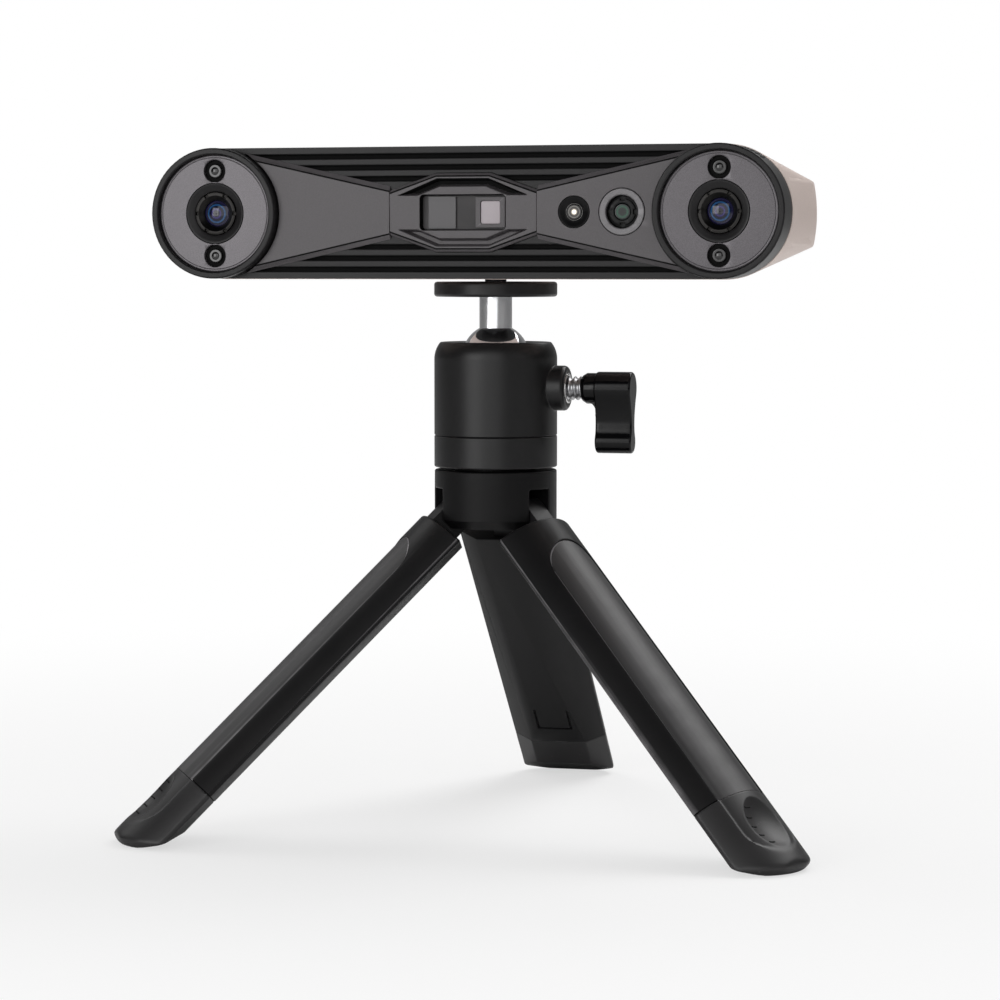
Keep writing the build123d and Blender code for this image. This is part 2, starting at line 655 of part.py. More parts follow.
stem_start = sqrt(BALL_RADIUS**2 - STEM_RADIUS**2)
stem_angle = degrees(asin(stem_start / BALL_RADIUS))
with BuildPart() as ball_stem:
    with BuildSketch(upright(ball_height)):
        with BuildLine():
            ball = CenterArc((0, 0), BALL_RADIUS, -90, 90 + stem_angle)
            Polyline(ball @ 1, (STEM_RADIUS, STEM_LENGTH), (0, STEM_LENGTH), ball @ 0)
        make_face()
    revolve(axis=Axis(stand_axis, (0, 0, 1)))
    with BuildSketch(level(platform_bottom)):
        Circle(THREAD_RADIUS)
    extrude(amount=-THREAD_ROOT_DEPTH, mode=Mode.SUBTRACT)
ball_stem.part.label = "ball_stem"
export_step(ball_stem.part, "parts/ball_stem.step")

with BuildPart() as platform:
    with BuildSketch(level(platform_bottom)):
        Circle(PLATFORM_RADIUS)
    extrude(amount=PLATFORM_THICKNESS)
    fillet(platform.edges(), PLATFORM_EDGE)
    with BuildSketch(level(platform_top)):
        Circle(THREAD_RADIUS)
    extrude(amount=-PLATFORM_THICKNESS, mode=Mode.SUBTRACT)
platform.part.label = "platform"
export_step(platform.part, "parts/platform.step")

with BuildPart() as mount_screw:
    with BuildSketch(level(platform_bottom - THREAD_ROOT_DEPTH)):
        Circle(THREAD_RADIUS)
    extrude(amount=THREAD_ROOT_DEPTH + PLATFORM_THICKNESS + THREAD_REACH)
    chamfer(mount_screw.edges().group_by(Axis.Z)[-1], THREAD_TIP)
mount_screw.part.label = "mount_screw"
export_step(mount_screw.part, "parts/mount_screw.step")

# Clamp: a shoe that presses on the ball, its screw and the lever knob
contact = Vector(sin(radians(CLAMP_ANGLE)), 0, -cos(radians(CLAMP_ANGLE)))
contact_plane = Plane(
    origin=stand_axis + Vector(0, 0, ball_height) + contact * (BALL_RADIUS + SHOE_GAP),
    x_dir=(0, 1, 0),
    z_dir=contact,
)
with BuildPart() as clamp_shoe:
    with BuildSketch(across(SHOE_START)):
        Circle(SHOE_RADIUS)
    extrude(amount=CLAMP_SCREW_START - SHOE_START)
    split(bisect_by=contact_plane, keep=Keep.TOP)
clamp_shoe.part.label = "clamp_shoe"
export_step(clamp_shoe.part, "parts/clamp_shoe.step")

with BuildPart() as clamp_screw:
    with BuildSketch(across(CLAMP_SCREW_START)):
        Circle(CLAMP_SCREW_RADIUS)
    extrude(amount=KNOB_START + KNOB_SCREW_DEPTH - CLAMP_SCREW_START)
clamp_screw.part.label = "clamp_screw"
export_step(clamp_screw.part, "parts/clamp_screw.step")

with BuildPart() as clamp_knob:
    with BuildSketch(across(LEVER_START)):
        with BuildLine():
            head = CenterArc((0, 0), LEVER_HEAD_RADIUS, -LEVER_HEAD_ANGLE, 180 + 2 * LEVER_HEAD_ANGLE)
            lobe = CenterArc(
                (0, -LEVER_LENGTH), LEVER_LOBE_RADIUS, 180 - LEVER_LOBE_ANGLE, 180 + 2 * LEVER_LOBE_ANGLE
            )
            Spline(
                head @ 1,
                (-LEVER_WAIST, -LEVER_WAIST_PLACE),
                lobe @ 0,
                tangents=(head % 1, lobe % 0),
            )
            Spline(
                lobe @ 1,
                (LEVER_WAIST, -LEVER_WAIST_PLACE),
                head @ 0,
                tangents=(lobe % 1, head % 0),
            )
        make_face()
    extrude(amount=KNOB_END - LEVER_START)
    fillet(clamp_knob.faces().sort_by(Axis.X)[-1].edges(), LEVER_EDGE)
    fillet(clamp_knob.faces().sort_by(Axis.X)[0].edges(), LEVER_EDGE)
    with BuildSketch(across(LEVER_START + LEVER_EDGE)):
        Circle(KNOB_COLLAR_RADIUS)
    extrude(amount=KNOB_START + KNOB_COLLAR_TAPER - LEVER_START - LEVER_EDGE)
    with BuildSketch(across(KNOB_START + KNOB_COLLAR_TAPER)):
        Circle(KNOB_COLLAR_RADIUS)
    with BuildSketch(across(KNOB_START)):
        Circle(KNOB_COLLAR_TIP_RADIUS)
    loft(ruled=True)
    web_top = -KNOB_COLLAR_RADIUS * sqrt(1 - (WEB_HALF_WIDTH / KNOB_COLLAR_RADIUS) ** 2)
    web_inside = LEVER_START + LEVER_EDGE
    with BuildSketch(upright(clamp_height)):
        with BuildLine():
            blend = TangentArc(
                (LEVER_START - WEB_RUN, web_top),
                (LEVER_START, web_top - WEB_DROP),
                tangent=(1, 0),
            )
            Polyline(
                blend @ 1,
                (web_inside, web_top - WEB_DROP),
                (web_inside, web_top),
                blend @ 0,
            )
        make_face()
    extrude(amount=WEB_HALF_WIDTH, both=True)
    with BuildSketch(across(KNOB_START)):
        Circle(CLAMP_SCREW_RADIUS)
    extrude(amount=KNOB_SCREW_DEPTH, mode=Mode.SUBTRACT)
clamp_knob.part.label = "clamp_knob"
export_step(clamp_knob.part, "parts/clamp_knob.step")


def bezel_outline(depth, gap):
    """Hexagonal outline of the projector's bezel, grown by a gap."""
    side_x = WAIST_X + gap
    top = BEZEL_HALF_HEIGHT + gap
    with BuildSketch(facing(depth)) as outline:
        with BuildLine():
            Polyline(
                (side_x, -BEZEL_SIDE_HALF),
                (side_x, BEZEL_SIDE_HALF),
                (BEZEL_TOP_HALF, top),
                (-BEZEL_TOP_HALF, top),
                (-side_x, BEZEL_SIDE_HALF),
                (-side_x, -BEZEL_SIDE_HALF),
                (-BEZEL_TOP_HALF, -top),
                (BEZEL_TOP_HALF, -top),
                close=True,
            )
        make_face()
    return outline.sketch


# Scanner: ribbed front casing with a pod at each end
pods = ((-POD_X, 0), (POD_X, 0))
plate_back = PLATE_DEPTH + PLATE_THICKNESS
panel_front = FACE_DEPTH - PANEL_THICKNESS
casing_inner = POD_RADIUS - CASING_WALL
lip_outer = POD_RADIUS - SHELL_WALL - LIP_CLEARANCE
screw_xs = (-CHASSIS_SCREW_X, CHASSIS_SCREW_X)
screw_zs = (-CHASSIS_SCREW_Z, CHASSIS_SCREW_Z)
screw_places = [(x, z) for x in screw_xs for z in screw_zs]
with BuildPart() as front_casing:
    with BuildSketch(facing(CASING_DEPTH)):
        SlotCenterToCenter(2 * POD_X, 2 * POD_RADIUS)
    extrude(amount=CASING_DEPTH - FACE_DEPTH)
    with BuildSketch(facing(CASING_DEPTH)):
        with Locations(*pods):
            Circle(POD_RADIUS)
    extrude(amount=CASING_DEPTH)
    with BuildSketch(facing(0)):
        with Locations(*pods):
            Circle(POD_RADIUS - RING_WIDTH)
    extrude(amount=-plate_back, mode=Mode.SUBTRACT)
    fillet(front_casing.edges().group_by(Axis.Y)[0], RING_EDGE)
    with BuildSketch(facing(CASING_DEPTH + CASING_LIP)):
        SlotCenterToCenter(2 * POD_X, 2 * lip_outer)
    extrude(amount=CASING_LIP)
    with BuildSketch(facing(CASING_DEPTH + CASING_LIP)):
        SlotCenterToCenter(2 * POD_X, 2 * casing_inner)
    extrude(amount=CASING_DEPTH + CASING_LIP - WALL_BACK, mode=Mode.SUBTRACT)
    with BuildSketch(facing(FACE_DEPTH)):
        for height in FIN_HEIGHTS:
            with Locations((0, height), (0, -height)):
                Rectangle(2 * POD_X, FIN_SLOT)
        with Locations(*pods):
            Circle(POD_RADIUS, mode=Mode.SUBTRACT)
    extrude(amount=-FIN_DEPTH, mode=Mode.SUBTRACT)
    extrude(bezel_outline(BEZEL_BACK, BEZEL_GAP), amount=BEZEL_BACK - panel_front, mode=Mode.SUBTRACT)
    with BuildSketch(facing(WALL_BACK)):
        Rectangle(WINDOW_WIDTH, WINDOW_HEIGHT)
        with Locations(*pods):
            Circle(BARREL_RADIUS + FINE_GAP)
        with Locations((CAMERA_X, 0)):
            Circle(CAMERA_BARREL_RADIUS + FINE_GAP)
    extrude(amount=WALL_BACK, mode=Mode.SUBTRACT)
    with BuildSketch(facing(WALL_BACK)):
        with Locations(*screw_places):
            Circle(SMALL_SCREW_RADIUS)
    extrude(amount=SMALL_SCREW_GRIP, mode=Mode.SUBTRACT)
front_casing.part.label = "front_casing"
export_step(front_casing.part, "parts/front_casing.step")


# Wings of the front panel, from the projector out to the pods
for side, direction in (("left", -1), ("right", 1)):
    with BuildPart() as panel:
        with BuildSketch(facing(FACE_DEPTH)):
            with BuildLine():
                Polyline(
                    (direction * WAIST_X, -WAIST_HALF),
                    (direction * WAIST_X, WAIST_HALF),
                    (direction * POD_X, POD_RADIUS * PANEL_END_SHARE),
                    (direction * POD_X, -POD_RADIUS * PANEL_END_SHARE),
                    close=True,
                )
            make_face()
            with Locations((direction * POD_X, 0)):
                Circle(POD_RADIUS + PANEL_GAP, mode=Mode.SUBTRACT)
        extrude(amount=PANEL_THICKNESS)
        long_edges = panel.edges().group_by(Axis.Y)[0].filter_by(GeomType.LINE).sort_by(SortBy.LENGTH)[-2:]
        chamfer(long_edges, PANEL_BEVEL)
        if side == "right":
            with BuildSketch(facing(FACE_DEPTH)):
                with Locations((CAMERA_X, 0)):
                    Circle(CAMERA_RING_RADIUS + FINE_GAP)
                with Locations((FLASH_X, 0)):
                    Circle(FLASH_RADIUS + FINE_GAP)
            extrude(amount=PANEL_THICKNESS, mode=Mode.SUBTRACT)
    panel.part.label = f"{side}_panel"
    export_step(panel.part, f"parts/{side}_panel.step")

# Projector window: hexagonal bezel, module and its two windows
with BuildPart() as projector_bezel:
    extrude(bezel_outline(BEZEL_BACK, 0), amount=BEZEL_BACK - panel_front)
    front_edges = projector_bezel.edges().group_by(Axis.Y)[0]
    chamfer(front_edges.filter_by(Axis.Z, reverse=True), BEZEL_BEVEL)
    for direction in (-1, 1):
        with BuildSketch(facing(panel_front)):
            with BuildLine():
                Polyline(
                    (-POCKET_END_X, direction * POCKET_END),
                    (-POCKET_TOP_HALF, direction * POCKET_TOP),
                    (POCKET_TOP_HALF, direction * POCKET_TOP),
                    (POCKET_END_X, direction * POCKET_END),
                    (PLATE_END_X, direction * POCKET_END),
                    (PLATE_TOP_HALF, direction * PLATE_TOP),
                    (-PLATE_TOP_HALF, direction * PLATE_TOP),
                    (-PLATE_END_X, direction * POCKET_END),
                    close=True,
                )
            make_face()
        extrude(amount=-POCKET_DEPTH, taper=POCKET_TAPER, mode=Mode.SUBTRACT)
    with BuildSketch(facing(BEZEL_BACK)):
        RectangleRounded(WINDOW_WIDTH, WINDOW_HEIGHT, WINDOW_CORNER)
    extrude(amount=BEZEL_BACK - panel_front, mode=Mode.SUBTRACT)
projector_bezel.part.label = "projector_bezel"
export_step(projector_bezel.part, "parts/projector_bezel.step")

chassis_back = WALL_BACK + CHASSIS_THICKNESS
with BuildPart() as projector_module:
    with BuildSketch(facing(chassis_back)):
        RectangleRounded(WINDOW_WIDTH - 2 * FINE_GAP, WINDOW_HEIGHT - 2 * FINE_GAP, WINDOW_CORNER)
    extrude(amount=chassis_back - NOSE_DEPTH)
    with BuildSketch(facing(PROJECTOR_BACK)):
        RectangleRounded(PROJECTOR_WIDTH, PROJECTOR_HEIGHT, WINDOW_CORNER)
    extrude(amount=PROJECTOR_BACK - chassis_back)
projector_module.part.label = "projector_module"
export_step(projector_module.part, "parts/projector_module.step")

with BuildPart() as projector_glass:
    with BuildSketch(facing(NOSE_DEPTH)):
        with Locations((GLASS_X, 0)):
            Rectangle(GLASS_WIDTH, GLASS_HEIGHT)
    extrude(amount=GLASS_THICKNESS)
projector_glass.part.label = "projector_glass"
export_step(projector_glass.part, "parts/projector_glass.step")

with BuildPart() as emitter_frame:
    with BuildSketch(facing(NOSE_DEPTH)):
        with Locations((EMITTER_X, 0)):
            Rectangle(EMITTER_FRAME, EMITTER_FRAME)
            RectangleRounded(EMITTER_WIDTH, EMITTER_HEIGHT, EMITTER_CORNER, mode=Mode.SUBTRACT)
    extrude(amount=EMITTER_PROUD)
emitter_frame.part.label = "emitter_frame"
export_step(emitter_frame.part, "parts/emitter_frame.step")

with BuildPart() as emitter_window:
    with BuildSketch(facing(NOSE_DEPTH)):
        with Locations((EMITTER_X, 0)):
            RectangleRounded(EMITTER_WIDTH, EMITTER_HEIGHT, EMITTER_CORNER)
    extrude(amount=EMITTER_PROUD - EMITTER_SINK)
emitter_window.part.label = "emitter_window"
export_step(emitter_window.part, "parts/emitter_window.step")

# Camera pods: cover plate, lens surround, lens barrel, front glass, lights and module
for side, x in (("left", -POD_X), ("right", POD_X)):
    with BuildPart() as lens_plate:
        with BuildSketch(facing(plate_back)):
            with Locations((x, 0)):
                Circle(PLATE_RADIUS)
                Circle(SURROUND_RADIUS + FINE_GAP, mode=Mode.SUBTRACT)
            with Locations((x, LIGHT_HEIGHT), (x, -LIGHT_HEIGHT)):
                Circle(LIGHT_HOLE_RADIUS, mode=Mode.SUBTRACT)
        extrude(amount=PLATE_THICKNESS)
        chamfer(lens_plate.edges().group_by(Axis.Y)[0].sort_by(SortBy.LENGTH)[-1], PLATE_EDGE)
    lens_plate.part.label = f"{side}_lens_plate"
    export_step(lens_plate.part, f"parts/{side}_lens_plate.step")

    lens_axis = Axis((stand_x + x, stand_y, scanner_height), (0, 1, 0))
    lens_side = Plane(
        origin=(stand_x + x, stand_y - AXIS_DEPTH, scanner_height), x_dir=(1, 0, 0), z_dir=(0, 0, 1)
    )
    surround_inner = BARREL_RADIUS + FINE_GAP
    with BuildPart() as lens_surround:
        with BuildSketch(lens_side):
            with BuildLine():
                Polyline(
                    (surround_inner, plate_back),
                    (SURROUND_RADIUS, plate_back),
                    (SURROUND_RADIUS, PLATE_DEPTH),
                    (surround_inner, PLATE_DEPTH + SURROUND_DISH),
                    close=True,
                )
            make_face()
        revolve(axis=lens_axis)
    lens_surround.part.label = f"{side}_lens_surround"
    export_step(lens_surround.part, f"parts/{side}_lens_surround.step")

    with BuildPart() as lens_barrel:
        with BuildSketch(lens_side):
            with BuildLine():
                Polyline(
                    (0, BARREL_BACK),
                    (BARREL_RADIUS, BARREL_BACK),
                    (BARREL_RADIUS, BARREL_DEPTH),
                    (BARREL_RADIUS - BARREL_RIM, BARREL_DEPTH),
                    (LENS_RADIUS, LENS_DEPTH - LENS_RISE),
                    (LENS_RADIUS, LENS_DEPTH),
                    (0, LENS_DEPTH),
                    close=True,
                )
            make_face()
        revolve(axis=lens_axis)
        with BuildSketch(facing(BARREL_DEPTH)):
            with Locations((x, 0)):
                with PolarLocations(BARREL_RADIUS, BARREL_NOTCHES):
                    Rectangle(2 * BARREL_RIM, BARREL_NOTCH)
        extrude(amount=-BARREL_RIM, mode=Mode.SUBTRACT)
    lens_barrel.part.label = f"{side}_lens_barrel"
    export_step(lens_barrel.part, f"parts/{side}_lens_barrel.step")

    lens_front = LENS_DEPTH - LENS_EDGE - LENS_RISE
    with BuildPart() as lens_glass:
        with BuildSketch(lens_side):
            with BuildLine():
                dome = TangentArc((0, lens_front), (LENS_RADIUS, lens_front + LENS_RISE), tangent=(1, 0))
                Polyline(dome @ 1, (LENS_RADIUS, LENS_DEPTH), (0, LENS_DEPTH), dome @ 0)
            make_face()
        revolve(axis=lens_axis)
    lens_glass.part.label = f"{side}_lens_glass"
    export_step(lens_glass.part, f"parts/{side}_lens_glass.step")

    with BuildPart() as fill_lights:
        with BuildSketch(facing(plate_back)):
            with Locations((x, LIGHT_HEIGHT), (x, -LIGHT_HEIGHT)):
                Circle(LIGHT_HOLE_RADIUS - FINE_GAP)
        extrude(amount=LIGHT_FLANGE)
        with BuildSketch(facing(plate_back - LIGHT_FLANGE)):
            with Locations((x, LIGHT_HEIGHT), (x, -LIGHT_HEIGHT)):
                Circle(LIGHT_RADIUS)
        extrude(amount=LIGHT_RISE)
        fillet(fill_lights.edges().group_by(Axis.Y)[0], LIGHT_RISE / 2)
    fill_lights.part.label = f"{side}_fill_lights"
    export_step(fill_lights.part, f"parts/{side}_fill_lights.step")

    holder_back = chassis_back + HOLDER_DEPTH
    with BuildPart() as camera_module:
        with BuildSketch(facing(holder_back)):
            with Locations((x, 0)):
                Rectangle(HOLDER_SIZE, HOLDER_SIZE)
        extrude(amount=HOLDER_DEPTH)
        with BuildSketch(facing(holder_back + BOARD_THICKNESS)):
            with Locations((x, 0)):
                Rectangle(SENSOR_BOARD, SENSOR_BOARD)
        extrude(amount=BOARD_THICKNESS)
        with BuildSketch(facing(BARREL_BACK)):
            with Locations((x, 0)):
                Circle(BARREL_RADIUS)
        extrude(amount=BARREL_BACK - chassis_back, mode=Mode.SUBTRACT)
    camera_module.part.label = f"{side}_camera_module"
    export_step(camera_module.part, f"parts/{side}_camera_module.step")

# Colour camera and flash in the right wing
with BuildPart() as camera_ring:
    with BuildSketch(facing(FACE_DEPTH)):
        with Locations((CAMERA_X, 0)):
            Circle(CAMERA_RING_RADIUS)
            Circle(CAMERA_BARREL_RADIUS + FINE_GAP, mode=Mode.SUBTRACT)
    extrude(amount=PANEL_THICKNESS + CAMERA_RING_PROUD)
    chamfer(camera_ring.edges().group_by(Axis.Y)[0], CAMERA_RING_PROUD)
camera_ring.part.label = "camera_ring"
export_step(camera_ring.part, "parts/camera_ring.step")

eye_front = CAMERA_DEPTH - CAMERA_EYE_RISE
with BuildPart() as camera_barrel:
    with BuildSketch(facing(CAMERA_BACK)):
        with Locations((CAMERA_X, 0)):
            Circle(CAMERA_BARREL_RADIUS)
    extrude(amount=CAMERA_BACK - CAMERA_DEPTH)
    with BuildSketch(facing(CAMERA_BACK)):
        with Locations((CAMERA_X, 0)):
            Rectangle(HOLDER_SIZE, HOLDER_SIZE)
    extrude(amount=CAMERA_BACK - chassis_back)
    with BuildSketch(facing(CAMERA_DEPTH)):
        with Locations((CAMERA_X, 0)):
            Circle(CAMERA_EYE_RADIUS)
            with PolarLocations(CAMERA_EYE_RADIUS, CAMERA_EYE_NOTCHES):
                Rectangle(2 * CAMERA_NOTCH_DEPTH, CAMERA_NOTCH_WIDTH, mode=Mode.SUBTRACT)
    extrude(amount=CAMERA_EYE_RISE)
    with BuildSketch(facing(eye_front)):
        with Locations((CAMERA_X, 0)):
            Circle(CAMERA_LENS_RADIUS)
    extrude(amount=-CAMERA_LENS_DEPTH, mode=Mode.SUBTRACT)
camera_barrel.part.label = "camera_barrel"
export_step(camera_barrel.part, "parts/camera_barrel.step")

with BuildPart() as camera_glass:
    with BuildSketch(facing(eye_front + CAMERA_LENS_DEPTH)):
        with Locations((CAMERA_X, 0)):
            Circle(CAMERA_LENS_RADIUS)
    extrude(amount=CAMERA_LENS_DEPTH)
    fillet(camera_glass.edges().group_by(Axis.Y)[0], CAMERA_LENS_RISE)
camera_glass.part.label = "camera_glass"
export_step(camera_glass.part, "parts/camera_glass.step")

flash_side = Plane(
    origin=(stand_x + FLASH_X, stand_y - AXIS_DEPTH, scanner_height),
    x_dir=(1, 0, 0),
    z_dir=(0, 0, 1),
)
flash_axis = Axis((stand_x + FLASH_X, stand_y, scanner_height), (0, 1, 0))
with BuildPart() as flash_cup:
    with BuildSketch(flash_side):
        with BuildLine():
            Polyline(
                (0, FACE_DEPTH),
                (FLASH_RADIUS, FACE_DEPTH),
                (FLASH_RADIUS, panel_front),
                (FLASH_FLOOR_RADIUS, FACE_DEPTH - FLASH_FLOOR),
                (0, FACE_DEPTH - FLASH_FLOOR),
                close=True,
            )
        make_face()
    revolve(axis=flash_axis)
flash_cup.part.label = "flash_cup"
export_step(flash_cup.part, "parts/flash_cup.step")

with BuildPart() as flash_lamp:
    with BuildSketch(facing(FACE_DEPTH - FLASH_FLOOR)):
        with Locations((FLASH_X, 0)):
            Circle(LAMP_RADIUS)
    extrude(amount=LAMP_RISE)
    fillet(flash_lamp.edges().group_by(Axis.Y)[0], LAMP_RISE / 2)
flash_lamp.part.label = "flash_lamp"
export_step(flash_lamp.part, "parts/flash_lamp.step")

# Chassis plate behind the front wall, with its screws
with BuildPart() as chassis:
    with BuildSketch(facing(chassis_back)):
        SlotCenterToCenter(2 * POD_X, 2 * (casing_inner - FINE_GAP))
        Rectangle(WINDOW_WIDTH, WINDOW_HEIGHT, mode=Mode.SUBTRACT)
        with Locations(*pods):
            Circle(BARREL_RADIUS + FINE_GAP, mode=Mode.SUBTRACT)
        with Locations((CAMERA_X, 0)):
            Circle(CAMERA_BARREL_RADIUS + FINE_GAP, mode=Mode.SUBTRACT)
        with Locations(*screw_places):
            Circle(SMALL_SCREW_RADIUS, mode=Mode.SUBTRACT)
    extrude(amount=CHASSIS_THICKNESS)
chassis.part.label = "chassis"
export_step(chassis.part, "parts/chassis.step")

with BuildPart() as chassis_screws:
    with BuildSketch(facing(chassis_back)):
        with Locations(*screw_places):
            Circle(SMALL_SCREW_RADIUS)
    extrude(amount=CHASSIS_THICKNESS + SMALL_SCREW_GRIP)
    with BuildSketch(facing(chassis_back)):
        with Locations(*screw_places):
            Circle(SMALL_HEAD_RADIUS)
    extrude(amount=-SMALL_HEAD_HEIGHT)
chassis_screws.part.label = "chassis_screws"
export_step(chassis_screws.part, "parts/chassis_screws.step")


def round_outline(depth, radius):
    """Outline with round ends, each divided where the rear shell's facets begin."""
    split_x = radius * cos(radians(ARC_SPLIT))
    split_z = radius * sin(radians(ARC_SPLIT))
    between = radians((90 + ARC_SPLIT) / 2)
    between_x = radius * cos(between)
    between_z = radius * sin(between)
    with BuildSketch(facing(depth)) as outline:
        with BuildLine():
            Line((-POD_X, radius), (POD_X, radius))
            Line((POD_X, -radius), (-POD_X, -radius))
            for side in (-1, 1):
                end = side * POD_X
                for rise in (-1, 1):
                    ThreePointArc(
                        (end, rise * radius),
                        (end + side * between_x, rise * between_z),
                        (end + side * split_x, rise * split_z),
                    )
                ThreePointArc(
                    (end + side * split_x, split_z),
                    (end + side * radius, 0),
                    (end + side * split_x, -split_z),
                )
        make_face()
    return outline.sketch


def flat_outline(depth, half_span, half_height, corner):
    """Outline with flat, slightly bowed ends and rounded corners."""
    knee = corner * sin(radians(45))
    with BuildSketch(facing(depth)) as outline:
        with BuildLine():
            Line((corner - half_span, half_height), (half_span - corner, half_height))
            Line((half_span - corner, -half_height), (corner - half_span, -half_height))
            for side in (-1, 1):
                end = side * half_span
                for rise in (-1, 1):
                    ThreePointArc(
                        (end - side * corner, rise * half_height),
                        (end - side * (corner - knee), rise * (half_height - corner + knee)),
                        (end, rise * (half_height - corner)),
                    )
                ThreePointArc(
                    (end, half_height - corner),
                    (end + side * SHELL_END_BOW, 0),
                    (end, corner - half_height),
                )
        make_face()
    return outline.sketch


# Rear shell: round at the casing, faceted and flat at the back
inner_depth = SCANNER_DEPTH - SHELL_WALL
board_back = inner_depth - STANDOFF_LENGTH
standoff_x = MAIN_BOARD_WIDTH / 2 - STANDOFF_INSET
standoff_z = MAIN_BOARD_HEIGHT / 2 - STANDOFF_MARGIN
standoffs = [(x, z) for x in (-standoff_x, standoff_x) for z in (-standoff_z, standoff_z)]
with BuildPart() as rear_shell:
    loft(
        [
            round_outline(CASING_DEPTH, POD_RADIUS),
            flat_outline(SCANNER_DEPTH, SHELL_END_X, SHELL_END_HALF, SHELL_CORNER),
        ],
        ruled=True,
    )
    loft(
        [
            round_outline(CASING_DEPTH, POD_RADIUS - SHELL_WALL),
            flat_outline(
                inner_depth, SHELL_END_X - SHELL_WALL, SHELL_END_HALF - SHELL_WALL, SHELL_CORNER / 2
            ),
        ],
        ruled=True,
        mode=Mode.SUBTRACT,
    )
    with BuildSketch(level(scanner_bottom)):
        Circle(PAD_RADIUS)
    extrude(amount=PAD_HEIGHT)
    fillet(rear_shell.faces().sort_by(Axis.Z)[0].edges(), PAD_EDGE)
    with BuildSketch(level(scanner_bottom)):
        Circle(INSERT_RADIUS)
    extrude(amount=INSERT_LENGTH, mode=Mode.SUBTRACT)
    with BuildSketch(facing(inner_depth)):
        with Locations(*standoffs):
            Circle(STANDOFF_RADIUS)
    extrude(amount=STANDOFF_LENGTH)
    with BuildSketch(facing(board_back)):
        with Locations(*standoffs):
            Circle(SMALL_SCREW_RADIUS)
    extrude(amount=-SMALL_SCREW_GRIP, mode=Mode.SUBTRACT)
    with BuildSketch(facing(SCANNER_DEPTH)):
        Circle(BUTTON_RADIUS + BUTTON_GAP)
        with Locations((STATUS_X, 0)):
            Circle(STATUS_RADIUS)
        with Locations((PORT_X, 0)):
            SlotOverall(PORT_WIDTH + 2 * PORT_GAP, PORT_HEIGHT + 2 * PORT_GAP)
    extrude(amount=SHELL_WALL, mode=Mode.SUBTRACT)
rear_shell.part.label = "rear_shell"
export_step(rear_shell.part, "parts/rear_shell.step")

with BuildPart() as thread_insert:
    with BuildSketch(level(scanner_bottom)):
        Circle(INSERT_RADIUS)
        Circle(THREAD_RADIUS + RUNNING_FIT, mode=Mode.SUBTRACT)
    extrude(amount=INSERT_LENGTH)
thread_insert.part.label = "thread_insert"
export_step(thread_insert.part, "parts/thread_insert.step")

# Main board on the shell's standoffs, with its screws, switch, port and light
board_front = board_back - BOARD_THICKNESS
with BuildPart() as main_board:
    with BuildSketch(facing(board_back)):
        Rectangle(MAIN_BOARD_WIDTH, MAIN_BOARD_HEIGHT)
        with Locations(*standoffs):
            Circle(SMALL_SCREW_RADIUS, mode=Mode.SUBTRACT)
    extrude(amount=BOARD_THICKNESS)
main_board.part.label = "main_board"
export_step(main_board.part, "parts/main_board.step")

with BuildPart() as board_screws:
    with BuildSketch(facing(board_front)):
        with Locations(*standoffs):
            Circle(SMALL_SCREW_RADIUS)
    extrude(amount=-BOARD_THICKNESS - SMALL_SCREW_GRIP)
    with BuildSketch(facing(board_front)):
        with Locations(*standoffs):
            Circle(SMALL_HEAD_RADIUS)
    extrude(amount=SMALL_HEAD_HEIGHT)
board_screws.part.label = "board_screws"
export_step(board_screws.part, "parts/board_screws.step")

with BuildPart() as scan_switch:
    with BuildSketch(facing(board_back)):
        Rectangle(SWITCH_SIZE, SWITCH_SIZE)
    extrude(amount=-SWITCH_HEIGHT)
scan_switch.part.label = "scan_switch"
export_step(scan_switch.part, "parts/scan_switch.step")

flange_back = inner_depth - BUTTON_GAP
stem_end = board_back + SWITCH_HEIGHT + BUTTON_TRAVEL + BUTTON_GAP / 2
with BuildPart() as scan_button:
    with BuildSketch(facing(SCANNER_DEPTH + BUTTON_PROUD)):
        Circle(BUTTON_RADIUS)
    extrude(amount=SCANNER_DEPTH + BUTTON_PROUD - flange_back)
    fillet(scan_button.edges().group_by(Axis.Y)[-1], BUTTON_EDGE)
    with BuildSketch(facing(flange_back)):
        Circle(BUTTON_RADIUS + BUTTON_FLANGE)
    extrude(amount=BUTTON_FLANGE_HEIGHT)
    with BuildSketch(facing(flange_back)):
        Circle(BUTTON_STEM_RADIUS)
    extrude(amount=flange_back - stem_end)
scan_button.part.label = "scan_button"
export_step(scan_button.part, "parts/scan_button.step")

with BuildPart() as status_light:
    with BuildSketch(facing(SCANNER_DEPTH)):
        with Locations((STATUS_X, 0)):
            Circle(STATUS_RADIUS)
    extrude(amount=SHELL_WALL + STATUS_FLANGE_HEIGHT)
    with BuildSketch(facing(inner_depth)):
        with Locations((STATUS_X, 0)):
            Circle(STATUS_RADIUS + STATUS_FLANGE)
    extrude(amount=STATUS_FLANGE_HEIGHT)
status_light.part.label = "status_light"
export_step(status_light.part, "parts/status_light.step")

